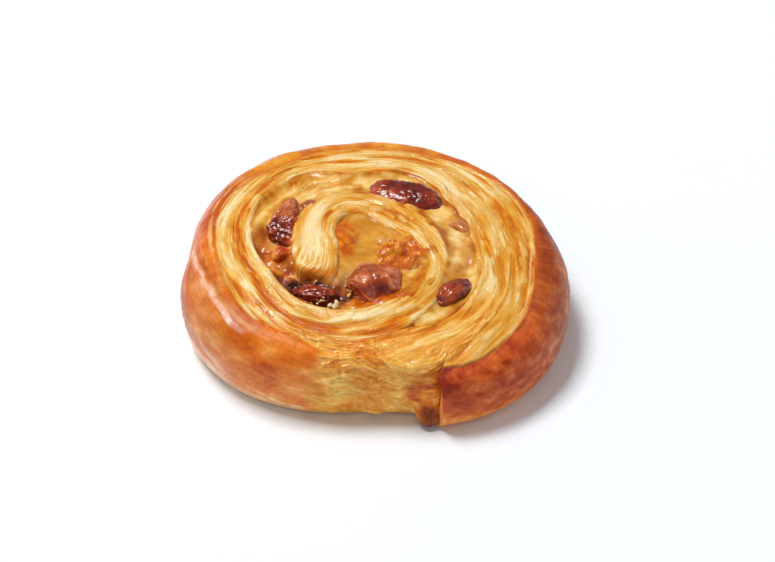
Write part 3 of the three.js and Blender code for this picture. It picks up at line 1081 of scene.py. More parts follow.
    def leaves(self, cut: Cut) -> Leaves:
        """The leaves of the cut face.

        All are uneven lines that run along the strip, drawn on the length along it and the share
        across it: bands of several leaves, round on top and sharp in the crease, stripes of a
        leaf or two, and threads. Slow unevenness bends them into each other.

        Args:
            cut: the sections.

        Returns:
            The leaves.
        """
        run, u = cut.run, cut.across * cut.width / 11.0
        bend = 0.10 * grain(run / 26.0, u * 2.2, 23) + 0.035 * grain(run / 8.0, u * 5.0, 24)
        bend += 0.012 * grain(run / 2.4, u * 9.0, 27)
        u = u + bend
        number = u * self.bands + 0.25 * grain(run / 30.0, u * 1.6, 21)
        band = np.abs(np.sin(np.pi * number)) ** 0.6
        fine = grain(run / 6.0, u * self.stripes * 1.9, 26)
        stripe = 1.2 * grain(run / 12.0, u * self.stripes, 25) + 0.8 * fine
        fissure = near(fine, 0.0, 0.2) * rise(grain(run / 6.0, u * 3.0, 33), -0.3, 0.4)
        thread = 1.1 * grain(run / 4.5, u * self.threads, 30)
        thread += 0.6 * grain(run / 2.2, u * self.threads * 2.0, 31)
        broad = 1.1 * grain(run / 16.0, u * 2.4, 28) + 0.7 * grain(run / 6.0, u * 5.0, 29)
        mottle = 1.2 * rough(run / 6.0, u * 8.0, 35)
        glint = rise(grain(run / 3.2, u * 15.0, 36) + 0.5 * grain(run / 9.0, u * 3.0, 37), 0.45, 0.85)
        return Leaves(band, *(np.clip(v, -1.0, 1.0) for v in (stripe, thread, broad, fissure, mottle, glint)))

    # -- relief --

    def relief(self, cut: Cut, leaf: Leaves) -> Array:
        """How far each point stands out from the smooth strip, in millimetres.

        Args:
            cut: the sections.
            leaf: the leaves.

        Returns:
            The relief.
        """
        run, z, w = cut.run, cut.height, cut.winding
        crust, front = self.crust(cut), self.front(cut)
        leafy = rise(cut.across, -0.02, 0.06) * (1.0 - rise(cut.past_rim, -0.2, 0.8) * cut.on_wall)
        knob = rise(w, *self.knob_start)
        alive = 0.65 + 0.35 * grain(run / 14.0, cut.across * 4.0, 32)
        top = self.band_height * alive * (leaf.band - 0.7) * (1.0 - 0.8 * knob)
        top += self.stripe_height * alive * leaf.stripe * (1.0 - 0.85 * knob)
        top += self.thread_height * leaf.thread - self.fissure_depth * leaf.fissure
        top += self.mottle_height * leaf.mottle + self.glint_height * leaf.glint
        blisters = pebbles(run / 1.5, cut.across * cut.width / 1.5, 33, 0.8)
        top += self.blister_height * cover(self.blistered, w, cut.across) * blisters
        lip = self.lip_height * near(self.crust_past(cut) + 0.55, 0.1, 0.45) * cut.on_wall
        out = top * leafy * (1.0 - 0.6 * front) - self.slit_depth * self.slit.mask(w, cut.across)
        out += lip * (1.0 - front)
        out += self.front_relief(cut) * front + self.crust_relief(cut) * crust
        damped = mix(rise(z, 1.0, 6.0), rise(z, 0.0, 2.5), front)
        return out * damped * rise(w, 0.0, 1.2) + self.flap(cut)

    def torn(self, cut: Cut, size: float, seed: int) -> tuple[Array, Array]:
        """Torn leaves that overlap like shingles down the bared front.

        The way down the side is bent by unevenness and counted in leaves. A leaf rises slowly from
        under the one above it and ends in a sharp, ragged edge.

        Args:
            cut: the sections.
            size: height of a leaf in millimetres.
            seed: picks the pattern.

        Returns:
            How far each point stands out, 0 to 1, and which edges show as a line, 0 to 1.
        """
        run, down = cut.run, cut.past_rim
        wave = 1.5 * grain(run / 14.0, down / 9.0, seed) + 0.8 * grain(run / 5.0, down / 3.0, seed + 1)
        wave += 0.25 * grain(run / 1.6, down / 1.6, seed + 2)
        number = down / size + wave
        part = number - np.floor(number)
        whole = np.floor(number).astype(np.int64)
        place = run / 7.0 + 3.7 * scramble(whole, 0, 0, seed + 3)
        tall = 0.35 + 0.65 * np.clip(0.5 + grain(place, whole * 1.7, seed + 4), 0.0, 1.0)
        return tall * (part - rise(part, 0.86, 1.0)), tall * window(part, 0.62, 0.84, 0.86, 0.94)

    def front_relief(self, cut: Cut) -> Array:
        """Relief of the bared front: large and small torn leaves, and swirling folds lower down.

        Args:
            cut: the sections.

        Returns:
            The relief in millimetres.
        """
        run, down = cut.run, cut.past_rim
        sizes = (self.large_leaf, self.small_leaf, self.flake)
        large, small, flake = (self.torn(cut, *size)[0] for size in sizes)
        low = fall(cut.height, 5.0, 13.0)
        out = (0.42 * large + 0.28 * small + 0.12 * flake) * (1.0 - 0.6 * low) + 0.35 * self.swirl(cut)[0]
        return out + 0.45 * grain(run / 7.0, down / 5.0, 40) + 0.8 * low * grain(run / 3.4, down / 2.8, 68)

    def swirl(self, cut: Cut) -> tuple[Array, Array]:
        """Crests of thin, swirling leaves on the bared front, wide ones and fine ones, each 0 to 1:
        sharp where a bent unevenness crosses zero.

        Args:
            cut: the sections.

        Returns:
            The wide crests and the fine ones.
        """
        run, down = cut.run, cut.past_rim
        bend_a, bend_b = grain(run / 6.0, down / 4.0, 55), grain(run / 5.0, down / 3.0, 63)
        wide = grain(run / 6.0 + 0.7 * bend_a, down / 1.9 + 1.1 * bend_b, 56)
        fine = grain(run / 2.6 + bend_a, down / 0.8 + 1.6 * bend_b, 64)
        return crest(wide, 1.8), crest(fine, 1.6)

    def crust_relief(self, cut: Cut) -> Array:
        """The crust: a slow swell, a narrow ridge below the edge on the left, slanting wrinkles, and
        pores on the loose end.

        Args:
            cut: the sections.

        Returns:
            The relief in millimetres.
        """
        run, z = cut.run, cut.height
        out = 0.22 + 0.35 * grain(run / 15.0, z / 8.0, 41) + 0.3 * self.streak(cut)
        slant = z + self.slant * run
        out += 0.22 * crest(grain(run / 12.0, slant / 2.2, 42))
        out += 0.04 * grain(run / 5.0, slant / 0.7, 60)
        out += 0.05 * rough(run / 1.8, z / 1.4, 43)
        return out - 0.07 * self.pores(cut)

    def pores(self, cut: Cut) -> Array:
        """Round pores on the loose end and the right side of the crust, 0 to 1.

        Args:
            cut: the sections.

        Returns:
            The pores.
        """
        size = self.pore_size
        domes = pebbles(cut.run / size, cut.height / size, 44, 0.4)
        return domes * fall(cut.winding, *self.pore_fade)

    def streak(self, cut: Cut) -> Array:
        """1 on the narrow ridge of dry glaze that runs down the crust on the left, whose pale colour is
        partly a painted highlight.

        Args:
            cut: the sections.

        Returns:
            The mask, 0 to about 1.
        """
        off = self.crust_past(cut) - along(self.streak_path, cut.winding)
        off += 0.3 * grain(cut.run / 3.0, 0.0, 70)
        ends = window(cut.winding, *self.streak_span)
        return ends * near(off, 0.3, 1.0) * (0.75 + 0.4 * grain(cut.run / 1.2, off / 0.5, 71))

    def flap_mask(self, cut: Cut) -> Array:
        """1 on the torn flap beside the loose end, whose left edge slants in towards the foot.

        Args:
            cut: the sections.

        Returns:
            The mask, 0 to 1.
        """
        w, z = cut.winding, cut.height
        left = along(self.flap_left, z) + 0.7 * grain(z / 1.2, 0.0, 45)
        soft = 0.5 + 4.5 * rise(z, 7.0, 14.0)
        right = fall(w, *self.flap_end)
        return rise((w - left) / soft, -0.5, 1.0) * right * rise(cut.past_rim, -2.0, 2.0) * cut.on_wall

    def flap(self, cut: Cut) -> Array:
        """Outward bulge of the torn flap, ragged along its lower edge and split beside the tail.

        Args:
            cut: the sections.

        Returns:
            The bulge in millimetres.
        """
        run, z, w = cut.run, cut.height, cut.winding
        lumps = 0.8 + 0.2 * grain(run / 2.2, z / 1.8, 47) + 0.1 * grain(run / 0.8, z / 0.8, 46)
        proud = 0.4 + 4.0 * fall(z, 0.5, 10.0) * rise(w, *self.flap_foot)
        return self.flap_mask(cut) * (proud * lumps - self.split.mask(w, z))

    # -- colour --

    def paint(self, cut: Cut, leaf: Leaves) -> tuple[Array, Array, Array]:
        """Colour, roughness and glaze of each point.

        Args:
            cut: the sections.
            leaf: the leaves.

        Returns:
            Colour as light, roughness and glaze.
        """
        run, z, w = cut.run, cut.height, cut.winding
        crust, front, flap = self.crust(cut), self.front(cut), self.flap_mask(cut)
        skin = self.paint_leaves(cut, leaf)
        skin = blend(skin, self.paint_front(cut, leaf), front * (1.0 - flap))
        skin = blend(skin, self.paint_crust(cut), crust)
        edge = near(self.crust_past(cut) - 0.1, 0.15, 0.5) * fall(w, *self.edge_fade)
        skin = Tone.SCORCHED.over(skin, 1.0, 0.6 * edge * cut.on_wall)
        # Pale leaf edge just inside the crust's edge, brightened as a painted highlight.
        line = near(self.crust_past(cut) + 0.5, 0.08, 0.38)
        shown = 0.15 + 0.45 * window(w, *self.pale_edge_span)
        skin = Tone.LEAF.over(skin, 0.85, line * cut.on_wall * (1.0 - front) * shown)
        lumps = rough(run / 2.4, z / 2.0, 49)
        skin = Tone.FLAP.over(skin, 0.46 + 0.9 * lumps, flap * 0.85)
        scorch = self.scorch.mask(w, z) * cut.on_wall * flap
        skin = Tone.SCORCHED.over(skin, 1.0 + lumps, scorch * 0.8)
        shine = 0.34 - 0.06 * leaf.band + 0.06 * leaf.broad + 0.08 * front
        right = fall(w, *self.gloss_fade)
        shine = mix(shine, 0.34 + 0.2 * right, crust)
        glaze = 0.32 + 0.4 * grain(run / 5.0, cut.across * 5.0, 48)
        dull = hump(self.roll.bearing(w), *self.dull_front) * rise(cut.radius, 24.0, 30.0)
        glaze *= 1.0 - 0.75 * dull
        shoulder = self.dull_shoulder.mask(w, self.crust_past(cut))
        glaze = mix(glaze, 0.35 - 0.15 * right - shoulder + 0.6 * self.streak(cut), crust)
        glaze = mix(glaze, 0.45 - 0.2 * rise(cut.past_rim, 3.0, 9.0), front) * (1.0 - 0.4 * flap)
        return skin, shine, glaze

    def paint_leaves(self, cut: Cut, leaf: Leaves) -> Array:
        """Colours of the cut face: each leaf from its browned crease to its pale edge, browner or
        paler in patches, with an orange side under the inner end.

        Args:
            cut: the sections.
            leaf: the leaves.

        Returns:
            Colour as light.
        """
        run, z, w = cut.run, cut.height, cut.winding
        knob = rise(w, *self.knob_start)
        warp_w = w + 3.0 * grain(run / 5.0, cut.across * 5.0, 52)
        warp_u = cut.across + 0.07 * grain(run / 4.0, cut.across * 6.0, 53)
        lean = cover(self.tones, warp_w, warp_u)
        right = hump(self.roll.bearing(w), 0.0, 75.0) * rise(cut.radius, 22.0, 30.0)
        level = 0.47 + 0.10 * knob + 0.22 * leaf.stripe * (1.0 - 0.4 * knob)
        level = level + 0.12 * leaf.thread - 0.12 * right
        level += 0.24 * leaf.broad * (1.0 - knob) * (1.0 - 0.4 * right) + 0.08 * (leaf.band - 0.75)
        level += 0.16 * leaf.mottle * (1.0 - 0.7 * knob) * (1.0 - 0.5 * right) + 0.3 * leaf.glint
        level += lean * (1.0 - 0.4 * right) - 0.12 * leaf.fissure
        level -= 0.3 * rise(cut.across, 0.8, 1.0) * window(w, *self.browned_span)
        skin = Tone.LEAF.light(level)
        skin = Tone.GLOW.over(skin, level + 0.5, rise(-lean, 0.1, 0.6) * 0.6)
        tanned = np.minimum(cover(self.tanned, warp_w, warp_u), 1.0)
        skin = Tone.BARED.over(skin, level, 0.75 * tanned)
        # Painted shade: dark colour in the slit across the second turn.
        skin = Tone.SLIT.over(skin, leaf.thread, self.slit_shade.mask(warp_w, warp_u))
        # Pale streaks along the threads of the inner end: its pale strands, brightened as a painted
        # highlight.
        streaks = rise(leaf.thread, -0.1, 0.5) * rise(w, *self.knob_highlight) * rise(cut.across, 0.1, 0.5)
        skin = Tone.PALE_DOUGH_AND_HIGHLIGHT.over(skin, 1.0, 0.8 * streaks)
        skin = Tone.PALE_DOUGH_AND_HIGHLIGHT.over(skin, level, 0.62 * cover(self.floury, warp_w, warp_u))
        brink = 25.4 + 0.9 * rise(w, 1005, 1022)
        side = knob * fall(z, brink - 0.6, brink + 0.3)
        skin = Tone.GLOW.over(skin, 0.7 * rise(z, 22.0, 25.0) + 0.3 * leaf.broad, side * 0.85)
        low = fall(z, 13.0, 20.0)
        return Tone.SIDE.over(skin, 0.5 + 0.5 * leaf.broad, low * (1.0 - side))

    def paint_front(self, cut: Cut, leaf: Leaves) -> Array:
        """Colours of the bared front: dull tan leaves with browner hollows and pale torn edges.

        Args:
            cut: the sections.
            leaf: the leaves.

        Returns:
            Colour as light.
        """
        run, down = cut.run, cut.past_rim
        wide, fine = self.swirl(cut)
        cloud = rough(run / 7.0, down / 3.5, 69)
        torn = self.torn(cut, *self.small_leaf)[1] + self.torn(cut, *self.large_leaf)[1]
        speck = rise(grain(run / 0.9, down / 0.7, 74), 0.35, 0.8)
        level = 0.4 + 0.24 * wide + 0.2 * fine + 0.36 * cloud + 0.14 * torn + 0.2 * leaf.mottle + 0.2 * speck
        skin = Tone.BARED.light(level)
        glow = 0.6 * rise(cloud, -0.1, -0.5) * fall(down, 0.0, 7.0)
        skin = Tone.GLOW.over(skin, 0.3 + 0.6 * fine, glow)
        olive = 0.5 * rise(cloud, 0.0, 0.5) * rise(down, 6.0, 12.0)
        return Tone.OLIVE.over(skin, 0.5 + 0.5 * cloud, olive)

    def paint_crust(self, cut: Cut) -> Array:
        """Colours of the crust: orange-brown on the left, golden at the back, dark on the right,
        duller on the loose end, paler towards the foot, with lighter slanting streaks.

        Args:
            cut: the sections.

        Returns:
            Colour as light.
        """
        run, z, w = cut.run, cut.height, cut.winding
        past = self.crust_past(cut)
        right = fall(w, 90, 130)
        cloud = 1.6 * rough(run / 9.0, z / 5.0, 57) * (1.0 - 0.68 * right)
        slant = z + self.slant * run + 0.8 * grain(run / 6.0, z / 4.0, 62)
        streak = grain(run / 13.0, slant / 1.1, 58) + 0.6 * grain(run / 6.0, slant / 0.5, 60)
        fine = grain(run / 2.6, z / 1.6, 59) + 0.9 * rough(run / 0.9, z / 0.7, 61)
        foot = fall(z, 1.0, 8.0)
        level = 0.42 + 0.3 * cloud + 0.11 * streak * (1.0 - right) + (0.14 + 0.1 * right) * fine + 0.5 * foot
        level += self.golden.mask(w, z)
        corner = fall(w, 1.0, 9.0) * rise(z, 7.0, 14.0)
        level = level - 0.45 * corner - 0.1 * rise(self.pores(cut), 0.1, 0.5) + 0.5 * foot * fall(w, 8, 30)
        # Painted shade: darker above mid-height on the left, and on the right.
        level -= 0.3 * hump(w, *self.left_shade) * rise(z, 6.0, 12.0) - self.dark_front.mask(w, z)
        level -= 0.16 * hump(w, *self.right_shade)
        skin = Tone.LEFT.light(level)
        skin = Tone.BACK.over(skin, level, window(w, *self.back_span))
        skin = Tone.RIGHT.over(skin, level, fall(w, *self.right_fade))
        skin = Tone.TAIL.over(skin, level, fall(w, *self.tail_fade))
        rim = 0.6 * fall(past, 0.2, 2.4) * rise(w, 30, 60)
        skin = Tone.GLOW.over(skin, 0.3 + 0.4 * cloud, rim)
        scratch = grain(run / 4.0, slant / 0.7, 65) + 0.6 * grain(run / 7.0, z / 4.0, 66)
        scratch = rise(scratch, 0.2, 0.8) * self.scratched.mask(w, z)
        lines = rise(grain(run / 14.0, past / 0.55, 75), 0.05, 0.6) * fall(past, 1.5, 4.5)
        skin = Tone.LEAF.over(skin, 0.75 + 0.2 * fine, 0.6 * lines * window(w, *self.lined_span))
        groove = near(past - along(self.streak_path, w) + 1.7, 0.3, 1.0) * window(w, *self.groove_span)
        skin = Tone.RIGHT.over(skin, 0.35 + 0.3 * fine, 0.5 * groove)
        # Paler on the lower left of the crust: partly its own pale foot, partly a painted reflection of the
        # white table.
        skin = Tone.DRY_GLAZE_AND_HIGHLIGHT.over(skin, 0.3 + 0.5 * fine, self.pale_foot_and_reflection.mask(w, z))
        skin = skin * (1.0 - self.dark_shoulder.mask(w, z))[..., None]
        # Painted reflection: a greyish pink sheen speckled over the right of the crust.
        sheen = rise(fine, 0.0, 0.9) * self.painted_sheen.mask(w, z)
        skin = Tone.SHEEN.over(skin, 0.5 + 0.5 * cloud, 0.5 * sheen)
        # Pale scratches, and the ridge on the left painted pale as a painted highlight.
        streaks = np.maximum(0.6 * scratch, 0.95 * self.streak(cut))
        return Tone.DRY_GLAZE_AND_HIGHLIGHT.over(skin, 0.4 + 0.7 * fine, streaks)

    # -- making --

    def build(self) -> list[bpy.types.Object]:
        """Makes the lengths of the strip and lets them stand for the dough's solid."""
        material = Baked.DOUGH.value.material()
        return [self.one(length, material) for length in self.lengths]

    def one(self, length: Length, material: bpy.types.Material) -> bpy.types.Object:
        """Makes one length.

        Where it meets another length, its last ring lies a hair inside the other's skin, so that
        both are closed and no seam shows.

        Args:
            length: which length.
            material: finish of the dough.

        Returns:
            The length's object.
        """
        cut, points = self.smooth(length)
        leaf = self.leaves(cut)
        normals = surface_normals(points)
        outward = np.sign(np.sum(normals[:, self.foot_points + self.round_points + 5, 2]))
        out = self.relief(cut, leaf)
        out[[0, -1]] -= self.seam_sink * np.array(length.meets())[:, None]
        points = points + normals * outward * out[..., None]
        points[..., 2] = np.maximum(points[..., 2], 0.0)
        lay = np.stack([cut.run, cut.across * cut.width, cut.height], axis=-1)
        made = close_grid(length.name, points, Looks(*self.paint(cut, leaf), lay), material)
        dress(made, "dough")
        return made


# ---- Cream ----


class Custard(Palette):
    """Colours of the cream, each from its browned hollows to its pale tops."""

    PLAIN = ((178, 90, 8), (202, 126, 26), (217, 154, 58), (232, 182, 94), (245, 208, 136))
    GOLD = ((160, 84, 16), (188, 116, 26), (206, 138, 38), (224, 164, 60), (242, 196, 104))
    TOFFEE = ((158, 54, 0), (192, 84, 2), (212, 108, 6), (230, 142, 32), (246, 192, 104))
    AMBER = ((150, 56, 12), (186, 88, 22), (206, 112, 30), (224, 146, 56), (244, 190, 116))
    JAM = ((84, 26, 12), (118, 46, 20), (156, 72, 28), (196, 104, 40), (226, 150, 76))
    # Charred bits, also used for painted shade in a hollow.
    CHAR_AND_SHADE = ((40, 24, 16), (70, 42, 22), (104, 64, 34))
    # Pale doughy cream, also used for a painted highlight on the lumps by the blisters.
    DOUGHY_AND_HIGHLIGHT = ((190, 128, 62), (222, 172, 98), (246, 214, 156))


@dataclass(frozen=True)
class CreamPatch:
    """A patch of the cream: middle and half sizes in plan, its colours and how strong it is."""

    x: float
    y: float
    half_x: float
    half_y: float
    tones: Custard
    strength: float


@dataclass
class Cream:
    """Pastry cream in the channel and round the core: one uneven, glossy, partly browned disc."""

    roll: Roll
    around: int = 480
    outward: int = 196
    bottom: float = 0.4
    creep: Pair = (1.0, 1.3)
    caramel: Pair = (6.4, -7.0)
    caramel_half: Pair = (7.4, 6.6)
    bubbles: tuple[tuple[float, float, float, float], ...] = (
        (2.5, -6.2, 2.5, 1.5), (6.0, -5.8, 2.1, 1.2), (9.3, -10.2, 2.5, 1.2), (1.6, -2.0, 1.6, 0.9),
        (4.2, -2.6, 1.2, 0.7),
    )
    jam_span: Span = (588, 606, 694, 712)
    jam_inner: Pair = (13.0, 17.0)
    end_blur: float = 6.0
    far: float = 30.0
    blister: float = 2.8
    small_blister: float = 1.3
    core_reach: Pair = (9.0, 13.0)
    fan_point: Pair = (-21.5, 18.0)
    fan_middle: Pair = (-17.0, 21.0)
    fan_half: Pair = (6.8, 5.1)
    fan_marks: float = 13.0
    roughness: float = 0.3
    glaze: float = 0.45
    patches: tuple[CreamPatch, ...] = tuple(CreamPatch(*row) for row in (
        (-28.5, 11, 5, 10, Custard.GOLD, 0.8),
        (21, -3, 5, 14, Custard.DOUGHY_AND_HIGHLIGHT, 0.4),
        (20, -22, 6, 5, Custard.GOLD, 0.7),
        (-4, -1.5, 6.4, 12, Custard.GOLD, 0.95),
        (-7.8, -0.8, 4.2, 10.5, Custard.TOFFEE, 0.95),
        (-7.4, -16, 4, 4.5, Custard.DOUGHY_AND_HIGHLIGHT, 0.9),
        (-28.6, -1, 4.5, 6.5, Custard.AMBER, 0.7),
        (-24.4, -8, 7, 7.5, Custard.AMBER, 0.95),
        (-22.6, -8.6, 2.6, 2, Custard.GOLD, 0.8),
        (-21, -15.5, 7, 6, Custard.JAM, 0.95),
        (-12, -19.5, 12, 5.5, Custard.JAM, 0.95),
        (-16, -21.6, 4, 2.2, Custard.AMBER, 0.8),
        (-19.5, -15.2, 4.0, 1.6, Custard.CHAR_AND_SHADE, 0.8),
        # Painted shade: dark patch in the hollow between the inner end and the centre raisin.
        (-13.6, -16.8, 4.2, 1.5, Custard.CHAR_AND_SHADE, 0.9),
        (-18.4, -11.6, 3.4, 1.6, Custard.DOUGHY_AND_HIGHLIGHT, 0.9),
        (3, -22.5, 13, 2.6, Custard.TOFFEE, 0.9),
        (6.6, -7.2, 8.2, 7.0, Custard.TOFFEE, 0.95),
        (9.6, -10.6, 3.4, 2.6, Custard.AMBER, 0.8),
        # Pale lumps by the toffee blisters, whitened as a painted highlight.
        (2.4, -1.8, 3.0, 1.7, Custard.DOUGHY_AND_HIGHLIGHT, 0.9),
        (3.4, 14.2, 6.0, 2.8, Custard.DOUGHY_AND_HIGHLIGHT, 0.85),
    ))

    def polar(self, x: Array, y: Array) -> tuple[Array, Array]:
        """Radius from the core, and winding in the second turn, of each point."""
        radius, winding = self.roll.polar(x, y)
        return radius, winding % 360.0 + 360.0

    def gap(self, x: Array, y: Array) -> Array:
        """Distance to the nearest face of the dough, 0 under it.

        Args:
            x: first coordinate in plan.
            y: second coordinate in plan.

        Returns:
            The distances in millimetres.
        """
        radius, winding = self.polar(x, y)
        to_outer = along(self.roll.inner_face, winding) - radius
        outer, inner = self.roll.faces(np.minimum(winding + 360.0, self.roll.strip_end))
        past_end = rise(winding + 360.0 - self.roll.strip_end, -self.end_blur, self.end_blur) * self.far
        to_inner = np.maximum(radius - outer, inner - radius) + past_end
        return np.maximum(np.minimum(to_outer, to_inner), 0.0)

    def jam(self, x: Array, y: Array) -> Array:
        """1 in the browned, crusty part of the channel, from the left to the front."""
        radius, winding = self.polar(x, y)
        return window(winding, *self.jam_span) * rise(radius, *self.jam_inner)

    def build(self) -> bpy.types.Object:
        """Makes the cream and lets it stand for its solid.

        The top is a disc of rings about the core, out to a little inside the dough. One more ring
        at the bottom makes the side, and both ends of the grid close on a middle point.

        Returns:
            The cream's object.
        """
        roll = self.roll
        winding = 360.0 + np.arange(self.around) / self.around * 360.0
        reach = np.maximum(2.0, along(roll.inner_face, winding) + 1.0)
        share = np.linspace(1.0, 0.006, self.outward)
        x, y = roll.plan(winding[None, :], reach[None, :] * share[:, None])
        z = roll.cream_level(x, y) + self.relief(x, y)
        points = np.stack([x, y, z], axis=-1)
        points = np.concatenate([points[:1], points])
        points[0, :, 2] = self.bottom
        looks = (np.concatenate([v[:1], v]) for v in self.paint(x, y))
        made = close_grid("baked_cream", points, Looks(*looks, points), Baked.CREAM.value.material())
        dress(made, "cream")
        return made

    def relief(self, x: Array, y: Array) -> Array:
        """Height added to the cream: it creeps up the dough's faces, has toffee blisters beside the
        centre raisin, a fan of fine ridges at the back and sticky lumps where it browned.

        Args:
            x: first coordinate in plan.
            y: second coordinate in plan.

        Returns:
            The added height in millimetres.
        """
        jam, gap = self.jam(x, y), self.gap(x, y)
        high, wide = self.creep
        inside = fall(self.polar(x, y)[0], *self.core_reach)
        out = high * (1.0 - 0.6 * inside) * np.exp(-gap / wide) * (1.0 - jam)
        large = pebbles(x / self.blister, y / self.blister, 61, 0.8)
        small = pebbles(x / self.small_blister, y / self.small_blister, 62, 0.5)
        out += spot(x, y, self.caramel, self.caramel_half) * (large + 0.2 * small)
        for bx, by, size, tall in self.bubbles:
            out += tall * np.sqrt(np.maximum(0.0, 1.0 - ((x - bx) ** 2 + (y - by) ** 2) / size**2))
        out += 0.5 * self.brushed(x, y)
        out += 0.16 * rough(x / 3.6, y / 3.6, 64, 2) * (1.0 - 0.6 * inside)
        out += 0.18 * rise(self.flow(x, y), 0.0, 0.8) * (1.0 - jam) * (1.0 - inside)
        lumps = 0.7 * grain(x / 2.6, y / 2.0, 65) + 0.2 * rough(x / 1.6, y / 1.6, 66, 2) - 0.2
        return out + jam * lumps

    def brushed(self, x: Array, y: Array) -> Array:
        """Crests of the brush marks at the back, which fan out from one point, 0 to 1.

        Args:
            x: first coordinate in plan.
            y: second coordinate in plan.

        Returns:
            The crests.
        """
        px, py = self.fan_point
        turn = np.arctan2(y - py, x - px) + 0.25 * grain(x / 2.0, y / 2.0, 63)
        return spot(x, y, self.fan_middle, self.fan_half, 0.6) * np.abs(np.sin(turn * self.fan_marks))

    def flow(self, x: Array, y: Array) -> Array:
        """Uneven swirls of the cream that run along the channel, -1 to 1."""
        radius, winding = self.polar(x, y)
        return grain(winding / 24.0 + 0.4 * grain(x / 4.0, y / 4.0, 72), radius / 1.5, 73)

    def paint(self, x: Array, y: Array) -> tuple[Array, Array, Array]:
        """Colour, roughness and glaze of the cream: golden, with the browned patches laid over it.

        Args:
            x: first coordinate in plan.
            y: second coordinate in plan.

        Returns:
            Colour as light, roughness and glaze.
        """
        inside = fall(self.polar(x, y)[0], *self.core_reach)
        level = 0.5 + 0.55 * rough(x / 4.0, y / 4.0, 67) * (1.0 - 0.5 * inside)
        level += (0.3 * self.flow(x, y) + 0.25 * rough(x / 1.3, y / 1.3, 70)) * (1.0 - 0.7 * inside)
        # Crests of the brush marks painted paler as a painted highlight; darker right next to the dough.
        level += 0.16 * self.brushed(x, y) - 0.3 * np.exp(-self.gap(x, y) / 0.7)
        skin = Custard.PLAIN.light(level)
        warp_x, warp_y = (v + 0.8 * grain(x / 2.0, y / 2.0, seed) for v, seed in ((x, 68), (y, 69)))
        fine = rough(x / self.small_blister, y / self.small_blister, 70)
        toffee = 0.3 + pebbles(x / self.blister, y / self.blister, 61, 0.8) * 0.5 + 0.3 * fine
        for p in self.patches:
            share = p.strength * spot(warp_x, warp_y, (p.x, p.y), (p.half_x, p.half_y))
            skin = p.tones.over(skin, toffee if p.tones is Custard.TOFFEE else level, share)
        return skin, np.full(x.shape, self.roughness), np.full(x.shape, self.glaze)


# ---- Raisins ----


@dataclass(frozen=True)
class Raisin:
    """One raisin: its solid's name, place, half sizes, the bearing and tilt of its length, how far
    its middle lies under the crown line, seed of its form, how deep it is wrinkled, how much it
    tapers, how sharp its facets are, and its shades from hollow to ridge, which paint the
    hollows darker as painted shade and the ridges paler as painted highlight."""

    node: str
    x: float
    y: float
    half: Place
    bearing: float
    tilt: float
    sink: float
    seed: int
    wrinkled: float
    taper: float
    squareness: float
    shades: tuple[Shade, ...]


DARK_RAISIN = ((54, 4, 0), (96, 16, 2), (132, 34, 8), (172, 72, 30))
BROWN_RAISIN = ((70, 8, 0), (118, 30, 4), (154, 54, 14), (204, 108, 52))
CENTRE_RAISIN = ((84, 14, 2), (136, 42, 12), (170, 72, 30), (216, 130, 84))
PALE_RAISIN = ((132, 60, 22), (168, 86, 36), (196, 116, 54), (222, 154, 88))
GLAZED_RAISIN = ((128, 34, 4), (178, 64, 10), (212, 102, 28), (238, 156, 74))
# Red of light shining through a raisin's underside, painted on.
UNDERSIDE = (158, 40, 6)
RAISINS = (
    Raisin("raisin_centre", 0.2, -16, (6.6, 6.4, 4.6), 20, 0, 2.8, 1, 0.5, 0.0, 20.0, CENTRE_RAISIN),
    Raisin("raisin_back", 7.8, 17.4, (10.2, 4.9, 4.2), -27, 0, 1.9, 2, 0.5, -0.1, 6.0, DARK_RAISIN),
    Raisin("raisin_tip", 21.4, 5, (3.4, 1.9, 2.1), -54, 0, 1.6, 3, 0.8, 0.0, 6.0, PALE_RAISIN),
    Raisin("raisin_right", 19.2, -18.8, (6.2, 3.4, 3.5), 42, 0, 2.0, 4, 0.8, 0.0, 7.0, DARK_RAISIN),
    Raisin("raisin_left", -22.4, 7.6, (7.8, 4.2, 4.2), 82, 10, 2.3, 5, 1.3, 0.35, 8.0, BROWN_RAISIN),
    Raisin("raisin_left_inner", -16.2, 12.6, (4, 2.5, 2.7), 40, 0, 1.4, 6, 0.6, 0.0, 6.0, PALE_RAISIN),
    Raisin("raisin_glazed", -23.2, -4, (3, 2.2, 2.2), 15, 0, 3.0, 7, 0.8, 0.0, 6.0, GLAZED_RAISIN),
    Raisin("raisin_front", -14.2, -18.6, (6.2, 2.6, 2.4), -12, 0, 3.4, 8, 1.3, 0.0, 7.0, DARK_RAISIN),
)


